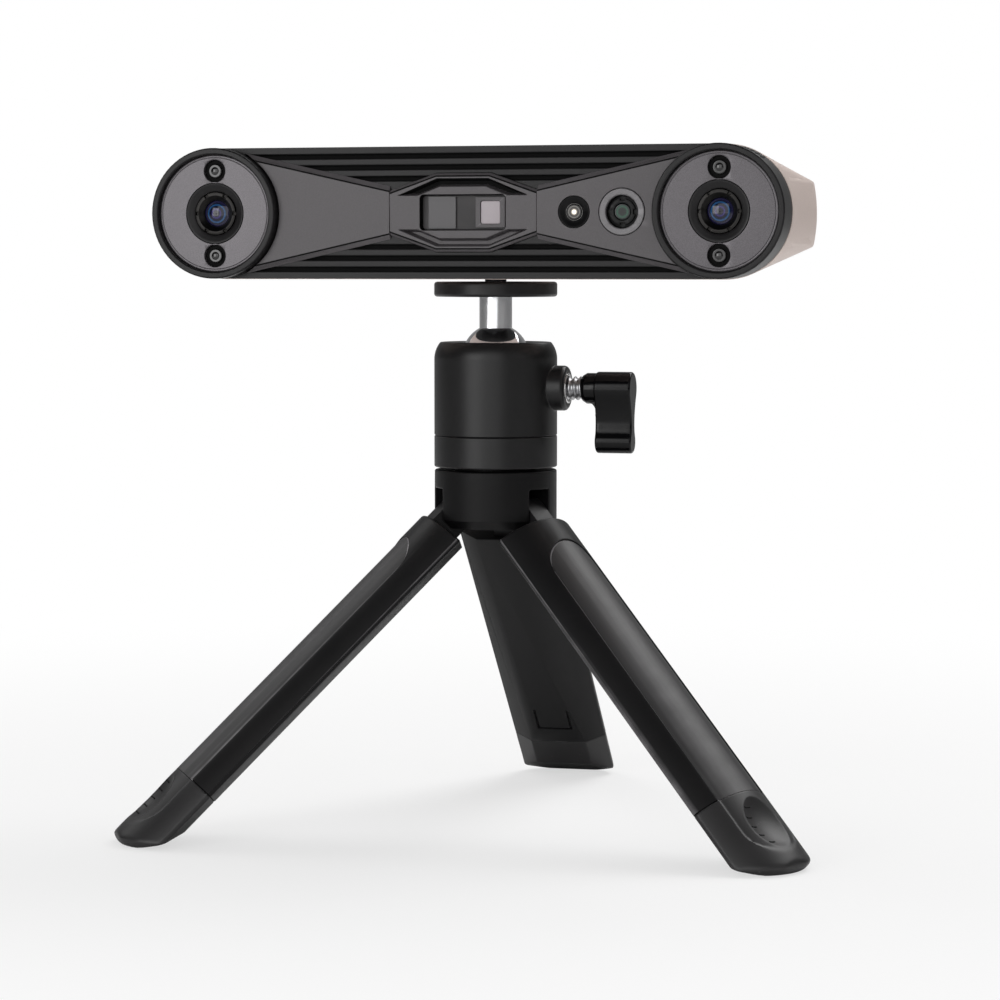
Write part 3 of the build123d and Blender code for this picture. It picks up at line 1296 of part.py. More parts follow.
with BuildPart() as usb_port:
    with BuildSketch(facing(SCANNER_DEPTH)):
        with Locations((PORT_X, 0)):
            SlotOverall(PORT_WIDTH, PORT_HEIGHT)
    extrude(amount=SCANNER_DEPTH - board_back)
    with BuildSketch(facing(SCANNER_DEPTH)):
        with Locations((PORT_X, 0)):
            SlotOverall(PORT_WIDTH - 2 * PORT_WALL, PORT_HEIGHT - 2 * PORT_WALL)
    extrude(amount=PORT_DEPTH, mode=Mode.SUBTRACT)
    with BuildSketch(facing(SCANNER_DEPTH - PORT_DEPTH + PORT_TONGUE_LENGTH)):
        with Locations((PORT_X, 0)):
            Rectangle(PORT_TONGUE_WIDTH, PORT_TONGUE_HEIGHT)
    extrude(amount=PORT_TONGUE_LENGTH)
usb_port.part.label = "usb_port"
export_step(usb_port.part, "parts/usb_port.step")
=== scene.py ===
import json
from math import asin, cos, hypot, pi, radians, sin, sqrt
import bpy
from mathutils import Matrix, Vector

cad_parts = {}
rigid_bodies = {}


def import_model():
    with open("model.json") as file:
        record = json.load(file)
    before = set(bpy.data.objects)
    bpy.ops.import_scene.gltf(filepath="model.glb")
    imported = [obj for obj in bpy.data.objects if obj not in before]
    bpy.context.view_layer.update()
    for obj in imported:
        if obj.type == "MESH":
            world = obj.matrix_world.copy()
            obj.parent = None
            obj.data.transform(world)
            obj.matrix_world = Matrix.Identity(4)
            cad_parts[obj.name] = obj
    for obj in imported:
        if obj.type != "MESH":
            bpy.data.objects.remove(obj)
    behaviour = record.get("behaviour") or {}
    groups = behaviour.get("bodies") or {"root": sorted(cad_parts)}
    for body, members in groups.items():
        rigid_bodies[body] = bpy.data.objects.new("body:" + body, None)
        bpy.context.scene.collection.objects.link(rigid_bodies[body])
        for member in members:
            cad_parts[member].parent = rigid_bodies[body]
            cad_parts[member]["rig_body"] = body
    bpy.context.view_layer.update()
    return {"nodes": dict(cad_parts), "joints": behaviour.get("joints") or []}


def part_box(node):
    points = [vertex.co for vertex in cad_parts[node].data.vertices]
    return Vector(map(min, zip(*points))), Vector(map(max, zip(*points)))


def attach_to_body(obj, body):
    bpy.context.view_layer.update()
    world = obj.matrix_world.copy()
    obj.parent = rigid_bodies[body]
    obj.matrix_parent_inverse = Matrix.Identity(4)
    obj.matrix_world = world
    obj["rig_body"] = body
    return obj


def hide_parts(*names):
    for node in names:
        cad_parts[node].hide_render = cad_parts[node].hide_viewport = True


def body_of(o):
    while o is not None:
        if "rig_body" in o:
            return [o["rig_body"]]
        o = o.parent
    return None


# A stereo 3-D scanner on a folding mini tripod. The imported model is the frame; metres, +Z up.
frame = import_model()
nodes = frame["nodes"]
MM = 0.001

# Camera, as fitted to the photograph
VIEW_AZIMUTH = radians(15.64)
VIEW_ELEVATION = radians(4.16)
VIEW_DISTANCE = 947.1 * MM
VIEW_HEIGHT = 96.96 * MM
LENS_LENGTH = 115.4
FRAME_SHIFT = 0.00424
SENSOR_WIDTH = 36.0

# Soft boxes: place, aim, size and power
SOFT_BOXES = {
    "front box": ((0.10, -1.32, 0.46), (0, 0, 0.12), (1.1, 0.95), 4.8),
    "left box": ((-0.60, -1.18, 0.34), (0, 0, 0.14), (0.6, 0.7), 4.6),
    "upper left box": ((-0.95, 0.25, 1.0), (0, 0, 0.1), (0.7, 0.7), 2.8),
    "right box": ((1.10, -0.55, 0.60), (0, 0, 0.12), (0.7, 0.7), 1.2),
    "top box": ((0.45, 0.60, 1.10), (0, 0, 0.1), (1.0, 0.8), 10.0),
}

# Floor, in metres: its size, and the ring in which it fades from a share of glow to full glow
FLOOR_SIZE = 9.0
FLOOR_NEAR = 0.08
FLOOR_FAR = 0.55
FLOOR_GLOW = 0.62

# Light all round, what of it gloss doesn't see, and the share and spread of the backdrop in gloss
AMBIENT = 0.30
AMBIENT_UNSEEN = -0.24
BACKDROP_SHARE = 0.22
BACKDROP_START = 0.35
BACKDROP_FULL = 0.95

# Depth of bumps, in metres, and the stretch of lathe lines across and along an axis
GRAIN_DEPTH = 0.05 * MM
LATHE_DEPTH = 0.02 * MM
LATHE_ACROSS = 9000.0
LATHE_ALONG = 90.0

# Lengths from here on are in millimetres

# Work on meshes: welds, tolerance, and the angles of joined flats and smooth faces
WELD = 0.002
FINE_WELD = 0.001
KNOB_WELD = 0.03
HAIR = 0.01
FLAT_ANGLE = radians(0.5)
SMOOTH_ANGLE = radians(34)
THREAD_SMOOTH = radians(30)
TICK_SMOOTH = radians(40)

# Angles between faces, in degrees, from which on edges are sharp, and those of fins and of creases
# with painted shade
SHARP_DEGREES = 45.5
LEG_DEGREES = 46.0
PANEL_DEGREES = 50.0
CASING_DEGREES = 60.0
FIN_DEGREES = 80
CREASE_DEGREES = (40, 50)

# Widths of rounded edges, of creases and seams with painted shade, and of the grip's painted highlight
# line; shaped pieces have a third step above the broad width
BROAD_ROUNDING = 0.25
HOUSING_ROUNDING = 0.35
FIN_ROUNDING = 0.45
CASING_ROUNDING = 0.14
KNOB_ROUNDING = 0.08
PANEL_ROUNDING = 0.20
LEG_ROUNDING = 0.30
CREASE_SHADE_WIDTH = 0.26
GRIP_HIGHLIGHT_WIDTH = 0.26
SEAM_SHADE_WIDTH = 0.28

# Tripod head: free room round the clamp shoe, top of the stem, thread of the clamp screw
SHOE_ROOM = 1.5
STEM_TOP = 2
THREAD_DEPTH = 0.62
THREAD_PITCH = 1.65
THREAD_STEPS = 40
# Profile of the thread: 0 for the root or 1 for the crest, and the share of the pitch
THREAD_PROFILE = ((0, 0), (1, 0.36), (1, 0.50), (0, 0.86), (0, 1))

# Front: place of the fins and of their grooves with painted shade, the bezel's pocket with painted
# shade, and when a face looks forward
FIN_FRONT_GAP = 4.6
GROOVE_START = 0.1
GROOVE_END = 1.7
GROOVE_REACH = 84
GROOVE_MARGIN = 1.0
POCKET_DROP = 5
POCKET_DEPTH = 1.0
FORWARD = 0.9

# Rings, beads and dark rings of painted shadow on the front: depth behind the front, gap, wire radius
LAMP_RADIUS = 2.2
LAMP_DEPTH = 0.55
LAMP_RIM_INSET = 0.30
LAMP_RIM_WIRE = 0.16
BEAD_RADIUS = 1.5
BEAD_FLATNESS = 0.6
PLATE_RIM_DEPTH = 0.17
PLATE_RIM_GAP = 0.28
PLATE_RIM_WIRE = 0.44
PLATE_RIM_FLATNESS = 0.4
SHADOW_RING_GAP = 0.78
SHADOW_RING_WIRE = 0.11
FLASH_RIM_DEPTH = 0.3
FLASH_RIM_GAP = 0.15
FLASH_RIM_WIRE = 0.10

# Rear shell's skin: steps and split of each end, start behind the front, thickness, the back's outline
CORNER_STEPS = 14
END_STEPS = 8
SKIN_SPLIT = radians(40.0)
SKIN_START = 12.0
SKIN_THICKNESS = 0.5
SKIN_OFFSET = -0.4
BACK_HALF = 9.8
BACK_SPAN = 90.5
BACK_CORNER = 1.5
BACK_BOW = 0.75

# Legs, measured down the leg: thumb scoop, its ticks, and the soft toe
LEG_SPLAY = radians(46.0)
SCOOP_RADIUS = 18.5
SCOOP_RISE = 22.0
SCOOP_PLACE = 121.3
TICK_WIRE = 0.24
TICK_OUTER = 0.5
TICK_INNER = 3.0
TOE_START = 128.0
TOE_EASE = 4.0
TOE_VOXEL = 0.3
TOE_PASSES = 90
# Place along the scoop and half width of the scoop there, for each tick
TICKS = ((-6.2, 4.5), (-3.1, 5.9), (0.0, 6.3), (3.1, 5.9), (6.2, 4.5))


def middle(node):
    """Centre of a CAD node's box."""
    low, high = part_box(node)
    return (low + high) / 2


def half_width(node):
    """Half the size of a CAD node's box from left to right."""
    low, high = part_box(node)
    return (high.x - low.x) / 2


def front_centre(node, depth):
    """Centre of a CAD node, a depth in millimetres behind its front."""
    place = middle(node)
    place.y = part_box(node)[0].y + depth * MM
    return place


stand_axis = middle("leg_hub")
LEG_SIDES = ("rear", "left", "right")


# Colours and shared shader effects

VALUE_SOCKET = "NodeSocketFloat"


def tint(red, green, blue):
    """Shader colour of a screen colour, each part 0 to 255."""
    parts = []
    for part in (red, green, blue):
        share = part / 255
        parts.append(share / 12.92 if share <= 0.04045 else ((share + 0.055) / 1.055) ** 2.4)
    return (*parts, 1.0)


def add_node(tree, kind, values=None, **settings):
    """Shader node with its settings and the values of its inputs."""
    node = tree.nodes.new(f"ShaderNode{kind}")
    for label, value in settings.items():
        setattr(node, label, value)
    for socket, value in (values or {}).items():
        node.inputs[socket].default_value = value
    return node


def wire(tree, *pairs):
    """Links each output to its input."""
    for output, entry in pairs:
        tree.links.new(output, entry)


def new_group(name, inputs, outputs):
    """Empty shader group with value sockets."""
    group = bpy.data.node_groups.new(name, "ShaderNodeTree")
    for label, value in inputs:
        socket = group.interface.new_socket(label, in_out="INPUT", socket_type=VALUE_SOCKET)
        socket.default_value = value
    for label in outputs:
        group.interface.new_socket(label, in_out="OUTPUT", socket_type=VALUE_SOCKET)
    return group, group.nodes.new("NodeGroupInput"), group.nodes.new("NodeGroupOutput")


def moulded_grain_group():
    """Fine spark-eroded grain and slow cloudy changes of tone, as on moulded plastic."""
    group, enter, leave = new_group(
        "moulded grain", (("Grain", 2600.0), ("Cloud", 45.0)), ("Height", "Tone")
    )
    place = add_node(group, "TexCoord")
    grain = add_node(group, "TexNoise", {"Detail": 3.0, "Roughness": 0.6})
    cloud = add_node(group, "TexNoise", {"Detail": 2.0})
    spread = add_node(group, "MapRange", {"From Min": 0.25, "From Max": 0.75})
    wire(
        group,
        (place.outputs["Object"], grain.inputs["Vector"]),
        (place.outputs["Object"], cloud.inputs["Vector"]),
        (enter.outputs["Grain"], grain.inputs["Scale"]),
        (enter.outputs["Cloud"], cloud.inputs["Scale"]),
        (cloud.outputs["Fac"], spread.inputs["Value"]),
        (grain.outputs["Fac"], leave.inputs["Height"]),
        (spread.outputs["Result"], leave.inputs["Tone"]),
    )
    return group


def paint_flake_group():
    """Small metal flakes in a paint coat: a tone for each flake and a faint orange peel."""
    group, enter, leave = new_group(
        "paint flake", (("Flake", 5200.0), ("Peel", 420.0)), ("Height", "Tone")
    )
    place = add_node(group, "TexCoord")
    flake = add_node(group, "TexVoronoi", feature="F1")
    pick = add_node(group, "SeparateColor")
    peel = add_node(group, "TexNoise", {"Detail": 1.0})
    wire(
        group,
        (place.outputs["Object"], flake.inputs["Vector"]),
        (place.outputs["Object"], peel.inputs["Vector"]),
        (enter.outputs["Flake"], flake.inputs["Scale"]),
        (enter.outputs["Peel"], peel.inputs["Scale"]),
        (flake.outputs["Color"], pick.inputs["Color"]),
        (pick.outputs["Red"], leave.inputs["Tone"]),
        (peel.outputs["Fac"], leave.inputs["Height"]),
    )
    return group


def turned_lines_group():
    """Fine lines left by a lathe, across the axis that has the large stretch."""
    group, enter, leave = new_group(
        "turned lines", [(f"Stretch {letter}", 60.0) for letter in "XYZ"], ("Height", "Tone")
    )
    place = add_node(group, "TexCoord")
    stretch = add_node(group, "CombineXYZ")
    multiply = add_node(group, "VectorMath", operation="MULTIPLY")
    lines = add_node(group, "TexNoise", {"Scale": 1.0, "Detail": 4.0})
    wire(
        group,
        *((enter.outputs[f"Stretch {letter}"], stretch.inputs[letter]) for letter in "XYZ"),
        (place.outputs["Object"], multiply.inputs[0]),
        (stretch.outputs["Vector"], multiply.inputs[1]),
        (multiply.outputs["Vector"], lines.inputs["Vector"]),
        (lines.outputs["Fac"], leave.inputs["Height"]),
        (lines.outputs["Fac"], leave.inputs["Tone"]),
    )
    return group


def painted_edge_highlight_group():
    """Mask of outer edges, broken into uneven patches, for a painted highlight along them."""
    group, enter, leave = new_group("painted edge highlight", (("Start", 0.57), ("Full", 0.69)), ("Mask",))
    shape = add_node(group, "NewGeometry")
    place = add_node(group, "TexCoord")
    patches = add_node(group, "TexNoise", {"Scale": 160.0, "Detail": 3.0})
    reach = add_node(group, "MapRange")
    uneven = add_node(group, "Math", operation="MULTIPLY")
    wire(
        group,
        (place.outputs["Object"], patches.inputs["Vector"]),
        (shape.outputs["Pointiness"], reach.inputs["Value"]),
        (enter.outputs["Start"], reach.inputs["From Min"]),
        (enter.outputs["Full"], reach.inputs["From Max"]),
        (reach.outputs["Result"], uneven.inputs[0]),
        (patches.outputs["Fac"], uneven.inputs[1]),
        (uneven.outputs["Value"], leave.inputs["Mask"]),
    )
    return group


MOULDED_GRAIN = moulded_grain_group()
PAINT_FLAKE = paint_flake_group()
TURNED_LINES = turned_lines_group()
PAINTED_EDGE_HIGHLIGHT = painted_edge_highlight_group()


def new_finish(name, roughness, metallic=0.0, specular=0.5):
    """Material with a plain Principled shader; returns it, its tree and its shader."""
    finish = bpy.data.materials.new(name)
    finish.use_nodes = True
    tree = finish.node_tree
    shader = tree.nodes["Principled BSDF"]
    shader.inputs["Roughness"].default_value = roughness
    shader.inputs["Metallic"].default_value = metallic
    shader.inputs["Specular IOR Level"].default_value = specular
    return finish, tree, shader


def place_group(tree, group, values=None):
    """Shared effect in a material, with its own values."""
    return add_node(tree, "Group", values, node_tree=group)


def mix_colours(tree, share, low, high):
    """Colour that goes from low to high with a share socket."""
    mix = add_node(tree, "Mix", data_type="RGBA")
    tree.links.new(share, mix.inputs["Factor"])
    for socket, colour in (("A", low), ("B", high)):
        target = next(entry for entry in mix.inputs if entry.name == socket and entry.type == "RGBA")
        if isinstance(colour, bpy.types.NodeSocket):
            tree.links.new(colour, target)
        else:
            target.default_value = colour
    return next(output for output in mix.outputs if output.type == "RGBA")


def vary(tree, source, target, low, high):
    """Drives a shader value between low and high from a 0 to 1 socket."""
    spread = add_node(tree, "MapRange", {"To Min": low, "To Max": high})
    wire(tree, (source, spread.inputs["Value"]), (spread.outputs["Result"], target))


def raise_grain(tree, shader, height, strength, depth):
    """Bump from a height socket; depth is in metres."""
    bump = add_node(tree, "Bump", {"Strength": strength, "Distance": depth})
    wire(tree, (height, bump.inputs["Height"]), (bump.outputs["Normal"], shader.inputs["Normal"]))


def dress_shader(tree, shader, effect, tones, shine, relief, depth):
    """Colour, roughness and bump from a shared effect; a painted highlight along edges where an edge
    tone is given.
    """
    dark, light, edge = tones
    colour = mix_colours(tree, effect.outputs["Tone"], dark, light)
    if edge:
        # Painted highlight along convex edges, in uneven patches
        edge_highlight = place_group(tree, PAINTED_EDGE_HIGHLIGHT)
        colour = mix_colours(tree, edge_highlight.outputs["Mask"], colour, edge)
    tree.links.new(colour, shader.inputs["Base Color"])
    vary(tree, effect.outputs["Tone"], shader.inputs["Roughness"], *shine)
    raise_grain(tree, shader, effect.outputs["Height"], relief, depth)


def moulded_plastic(name, dark, light, edge, roughness, specular, grain=2600.0, relief=0.2, coat=0.0):
    """Moulded plastic: cloudy tone, fine grain, and a painted highlight along its edges, if an edge
    tone is given.
    """
    finish, tree, shader = new_finish(name, roughness, specular=specular)
    shader.inputs["Coat Weight"].default_value = coat
    effect = place_group(tree, MOULDED_GRAIN, {"Grain": grain})
    shine = (roughness - 0.02, roughness + 0.03)
    dress_shader(tree, shader, effect, (dark, light, edge), shine, relief, GRAIN_DEPTH)
    return finish


def flake_coat(name, dark, light, edge, roughness, metallic, specular, relief=0.05):
    """Metallic paint: flakes of two tones, faint orange peel, and a painted highlight along edges, if
    any.
    """
    finish, tree, shader = new_finish(name, roughness, metallic, specular)
    effect = place_group(tree, PAINT_FLAKE)
    shine = (roughness - 0.04, roughness + 0.05)
    dress_shader(tree, shader, effect, (dark, light, edge), shine, relief, GRAIN_DEPTH)
    return finish


def turned_metal(name, dark, light, roughness, axis, relief=0.15):
    """Machined metal with fine lathe lines across an axis."""
    finish, tree, shader = new_finish(name, roughness, 1.0)
    stretch = {letter: LATHE_ACROSS if letter == axis else LATHE_ALONG for letter in "XYZ"}
    sockets = {f"Stretch {letter}": value for letter, value in stretch.items()}
    effect = place_group(tree, TURNED_LINES, sockets)
    shine = (roughness * 0.8, roughness * 1.25)
    dress_shader(tree, shader, effect, (dark, light, None), shine, relief, LATHE_DEPTH)
    return finish


def ringed_glass(name, node, rings, glow=0.0, roughness=0.05):
    """Coated lens or lamp whose colour changes in rings from its centre outwards; on the lenses the
    rings are painted reflections.
    """
    finish, tree, shader = new_finish(name, roughness, specular=0.4)
    shader.inputs["Coat Weight"].default_value = 0.15
    shader.inputs["Coat Roughness"].default_value = 0.03
    scale = 1 / half_width(node)
    place = add_node(tree, "TexCoord")
    shift = add_node(tree, "Mapping", {"Location": -middle(node)})
    flat = add_node(tree, "VectorMath", {1: (scale, 0.0, scale)}, operation="MULTIPLY")
    reach = add_node(tree, "VectorMath", operation="LENGTH")
    ramp = add_node(tree, "ValToRGB")
    stops = ramp.color_ramp.elements
    stops[0].position, stops[0].color = rings[0]
    stops[1].position, stops[1].color = rings[-1]
    for share, colour in rings[1:-1]:
        stops.new(share).color = colour
    wire(
        tree,
        (place.outputs["Object"], shift.inputs["Vector"]),
        (shift.outputs["Vector"], flat.inputs[0]),
        (flat.outputs["Vector"], reach.inputs[0]),
        (reach.outputs["Value"], ramp.inputs["Fac"]),
        (ramp.outputs["Color"], shader.inputs["Base Color"]),
    )
    if glow > 0:
        tree.links.new(ramp.outputs["Color"], shader.inputs["Emission Color"])
        shader.inputs["Emission Strength"].default_value = glow
    return finish


# Finishes of this object: tones, roughness, then the other values of each kind
# The third tone of each plastic and paint, where given, is a painted highlight along its edges
CASING_BLACK = moulded_plastic(
    "casing black", tint(20, 19, 20), tint(25, 24, 25), tint(70, 67, 68), 0.36, 0.24
)
NOSE_BLACK = moulded_plastic(
    "nose black", tint(46, 44, 45), tint(52, 50, 51), tint(80, 77, 78), 0.45, 0.30
)
PANEL_COAT = flake_coat(
    "panel coat", tint(70, 67, 69), tint(78, 75, 77), tint(112, 109, 111), 0.40, 0.15, 0.4
)
PLATE_COAT = flake_coat(
    "lens plate coat", tint(80, 77, 80), tint(84, 81, 84), tint(120, 117, 119), 0.28, 0.45, 0.5, 0.03
)
RING_COAT = flake_coat(
    "camera ring coat", tint(98, 96, 98), tint(110, 108, 110), tint(150, 148, 150), 0.36, 0.20, 0.4
)
LENS_BLACK = moulded_plastic(
    "anodised black", tint(9, 9, 10), tint(12, 12, 13), tint(50, 49, 50), 0.36, 0.18, 4200.0, 0.12
)
BARREL_BLACK = turned_metal("barrel black", tint(32, 31, 31), tint(52, 51, 50), 0.36, "Y")
BRONZE_COAT = flake_coat(
    "bronze coat", tint(212, 194, 186), tint(226, 210, 202), None, 0.40, 0.32, 0.5
)
HEAD_BLACK = moulded_plastic(
    "head black", tint(13, 13, 14), tint(17, 16, 17), tint(60, 58, 60), 0.36, 0.36
)
HUB_BLACK = moulded_plastic(
    "hub black", tint(11, 11, 12), tint(14, 13, 14), tint(76, 74, 76), 0.42, 0.16
)
LEG_BLACK = moulded_plastic(
    "leg black", tint(17, 17, 18), tint(21, 20, 21), tint(120, 118, 120), 0.40, 0.20
)
GRIP_BLACK = moulded_plastic(
    "grip black", tint(36, 35, 36), tint(42, 41, 42), tint(140, 138, 140), 0.46, 0.5, 3200.0, 0.25
)
# Light tone for the grip's edge bevels: a painted highlight line
GRIP_EDGE_HIGHLIGHT = moulded_plastic(
    "grip line", tint(158, 155, 158), tint(172, 169, 172), None, 0.40, 0.5
)
FOOT_RUBBER = moulded_plastic(
    "foot rubber", tint(28, 27, 28), tint(34, 33, 34), tint(84, 82, 84), 0.44, 0.5, 1800.0, 0.25
)
# Near-black for the scoop ticks: painted shade of the small ribs
TICK_PAINTED_SHADE = moulded_plastic(
    "tick painted shade", tint(10, 10, 10), tint(14, 14, 14), tint(30, 30, 30), 0.60, 0.2
)
KNOB_GLOSS = moulded_plastic(
    "knob gloss", tint(4, 4, 5), tint(6, 6, 7), tint(24, 24, 26), 0.13, 0.22, 900.0, 0.02
)
CHROME = turned_metal("chrome", tint(226, 226, 228), tint(240, 240, 242), 0.08, "Z", 0.01)
STEM_SATIN = turned_metal("stem satin", tint(226, 226, 228), tint(240, 240, 242), 0.24, "Z", 0.01)
STEEL = turned_metal("steel", tint(150, 150, 152), tint(186, 186, 188), 0.28, "X")
BLACK_STEEL = turned_metal("black steel", tint(38, 38, 39), tint(58, 58, 59), 0.30, "X", 0.05)
BRASS = turned_metal("brass", tint(170, 138, 78), tint(204, 172, 108), 0.30, "Z")
ALLOY = turned_metal("alloy sheet", tint(176, 176, 178), tint(200, 200, 202), 0.36, "X")
NYLON = moulded_plastic(
    "nylon", tint(196, 193, 184), tint(210, 208, 200), tint(226, 224, 218), 0.45, 0.4
)
BOARD_GREEN = moulded_plastic(
    "circuit board", tint(22, 84, 46), tint(34, 104, 60), tint(120, 150, 110), 0.40, 0.5
)
GLASS_PLATE = moulded_plastic(
    "glass plate", tint(70, 68, 70), tint(76, 74, 76), None, 0.16, 0.25, 900.0, 0.01
)
WINDOW_PALE = moulded_plastic(
    "window pale", tint(160, 152, 156), tint(168, 160, 164), None, 0.34, 0.3, 900.0, 0.02
)
LAMP_CLEAR = moulded_plastic(
    "lamp clear", tint(12, 12, 12), tint(17, 16, 16), None, 0.06, 0.6, 900.0, 0.01, 0.3
)
# Near-black matte for painted shade in grooves, creases, seams, hollows and gaps
PAINTED_SHADE_BLACK = moulded_plastic(
    "painted shade black", tint(8, 8, 8), tint(11, 11, 11), tint(16, 16, 16), 0.70, 0.1
)
RIM_GREY = turned_metal("rim grey", tint(98, 97, 96), tint(120, 119, 118), 0.30, "Y", 0.02)
PALE_METAL = turned_metal("pale metal", tint(196, 195, 194), tint(220, 219, 218), 0.24, "Y", 0.05)
DARK_NYLON = moulded_plastic(
    "dark nylon", tint(14, 14, 14), tint(18, 18, 18), tint(30, 30, 30), 0.55, 0.2
)
# Rings of coloured painted reflection on the stereo lenses, from the centre outwards
LENS_PAINTED_REFLECTIONS = (
    (0.0, tint(4, 5, 14)), (0.22, tint(8, 10, 30)), (0.34, tint(52, 44, 104)),
    (0.42, tint(14, 14, 40)), (0.56, tint(8, 12, 34)), (0.66, tint(38, 82, 128)),
    (0.74, tint(10, 14, 30)), (0.88, tint(30, 28, 60)), (1.0, tint(4, 4, 6)),
)
LEFT_LENS = ringed_glass("left lens painted reflections", "left_lens_glass", LENS_PAINTED_REFLECTIONS)
RIGHT_LENS = ringed_glass("right lens painted reflections", "right_lens_glass", LENS_PAINTED_REFLECTIONS)
# The camera lens has a green ring of painted reflection
CAMERA_LENS = ringed_glass(
    "camera lens painted reflections", "camera_glass",
    ((0.0, tint(4, 8, 8)), (0.4, tint(10, 22, 18)), (0.62, tint(30, 74, 56)),
     (0.78, tint(10, 20, 20)), (1.0, tint(3, 3, 4))),
)
FLASH_WHITE = ringed_glass(
    "flash white", "flash_lamp",
    ((0.0, tint(255, 253, 244)), (0.20, tint(255, 251, 238)), (0.30, tint(168, 160, 146)),
     (0.42, tint(58, 55, 52)), (0.62, tint(26, 25, 25)), (0.72, tint(96, 94, 90)),
     (0.80, tint(24, 23, 23)), (1.0, tint(14, 14, 14))),
    0.8, 0.10,
)


# Which finish each CAD node wears
FINISHES = {
    "front_casing": CASING_BLACK, "scan_switch": CASING_BLACK, "projector_module": NOSE_BLACK,
    "left_panel": PANEL_COAT, "right_panel": PANEL_COAT, "projector_bezel": PANEL_COAT,
    "left_lens_plate": PLATE_COAT, "right_lens_plate": PLATE_COAT, "emitter_frame": PANEL_COAT,
    "camera_ring": RING_COAT, "left_lens_surround": CASING_BLACK, "right_lens_surround": CASING_BLACK,
    "left_lens_barrel": BARREL_BLACK, "right_lens_barrel": BARREL_BLACK, "camera_barrel": LENS_BLACK,
    "flash_cup": LENS_BLACK, "left_camera_module": LENS_BLACK, "right_camera_module": LENS_BLACK,
    "rear_shell": BRONZE_COAT, "chassis": ALLOY, "thread_insert": BRASS, "main_board": BOARD_GREEN,
    "chassis_screws": STEEL, "board_screws": STEEL, "usb_port": STEEL, "hinge_pins": STEEL,
    "pan_bolt": STEEL, "mount_screw": BLACK_STEEL, "clamp_screw": STEEL, "clamp_bushing": PALE_METAL,
    "scan_button": CASING_BLACK, "ball_seat": NYLON, "pan_washer": DARK_NYLON, "clamp_shoe": NYLON,
    "ball_stem": CHROME, "platform": HEAD_BLACK, "ball_housing": HEAD_BLACK,
    "housing_base": HEAD_BLACK, "leg_hub": HUB_BLACK, "clamp_knob": KNOB_GLOSS,
    "projector_glass": GLASS_PLATE, "emitter_window": WINDOW_PALE, "status_light": LAMP_CLEAR,
    "left_fill_lights": LAMP_CLEAR, "right_fill_lights": LAMP_CLEAR, "flash_lamp": FLASH_WHITE,
    "left_lens_glass": LEFT_LENS, "right_lens_glass": RIGHT_LENS, "camera_glass": CAMERA_LENS,
}
for side in LEG_SIDES:
    FINISHES[f"{side}_leg"] = LEG_BLACK
    FINISHES[f"{side}_leg_grip"] = GRIP_BLACK
    FINISHES[f"{side}_foot"] = FOOT_RUBBER
for node, finish in FINISHES.items():
    nodes[node].material_slots[0].material = finish


# Modelling helpers

def pick_only(piece):
    """Makes one object the only selected and active one."""
    bpy.ops.object.select_all(action="DESELECT")
    piece.select_set(True)
    bpy.context.view_layer.objects.active = piece


def edit_all(piece):
    """Opens a piece for editing with all of its mesh selected."""
    pick_only(piece)
    bpy.ops.object.mode_set(mode="EDIT")
    bpy.ops.mesh.select_all(action="SELECT")


def add_object(name, data):
    """New object in the scene."""
    thing = bpy.data.objects.new(name, data)
    bpy.context.scene.collection.objects.link(thing)
    return thing


def attach(piece, name, body, finish, second=None):
    """Names a finished piece, gives it its finishes and lets it ride on its body."""
    piece.name = name
    piece.data.name = name
    coats = piece.data.materials
    for index, coat in enumerate((finish, second) if second else (finish,)):
        if index < len(coats):
            coats[index] = coat
        else:
            coats.append(coat)
    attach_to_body(piece, body)
    return piece


def apply_modifier(piece, kind, **values):
    """Adds a modifier with its values and applies it."""
    modifier = piece.modifiers.new(kind.lower(), kind)
    for label, value in values.items():
        setattr(modifier, label, value)
    pick_only(piece)
    bpy.ops.object.modifier_apply(modifier=modifier.name)


def cad_copy(node, weld=WELD, join_flats=True):
    """Loose copy of a CAD node's mesh, welded; its flat areas are joined, but not on turned nodes."""
    piece = add_object(node, nodes[node].data.copy())
    pick_only(piece)
    bpy.ops.mesh.customdata_custom_splitnormals_clear()
    edit_all(piece)
    bpy.ops.mesh.remove_doubles(threshold=weld * MM)
    bpy.ops.mesh.dissolve_degenerate(threshold=weld * MM)
    if join_flats:
        bpy.ops.mesh.dissolve_limited(angle_limit=FLAT_ANGLE)
    bpy.ops.mesh.normals_make_consistent(inside=False)
    bpy.ops.object.mode_set(mode="OBJECT")
    return piece


def stand_for(piece, node, second=None):
    """Lets a reworked copy take a CAD node's place."""
    pick_only(piece)
    bpy.ops.object.shade_smooth_by_angle(angle=SMOOTH_ANGLE)
    apply_modifier(piece, "WEIGHTED_NORMAL", keep_sharp=True)
    body = body_of(nodes[node])[0]
    attach(piece, node.replace("_", "-"), body, FINISHES[node], second)
    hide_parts(node)
    return piece


def soften(piece, width, steps=2, limit=SHARP_DEGREES):
    """Rounds every sharp edge of a piece; its limit is an angle in degrees."""
    apply_modifier(
        piece, "BEVEL", width=width * MM, segments=steps, limit_method="ANGLE",
        angle_limit=radians(limit), use_clamp_overlap=False, miter_outer="MITER_ARC",
    )


def softened(node, width, steps=2, weld=WELD, join_flats=True):
    """Copy of a CAD node with rounded edges, in the node's place."""
    piece = cad_copy(node, weld, join_flats)
    soften(piece, width, steps)
    return stand_for(piece, node)


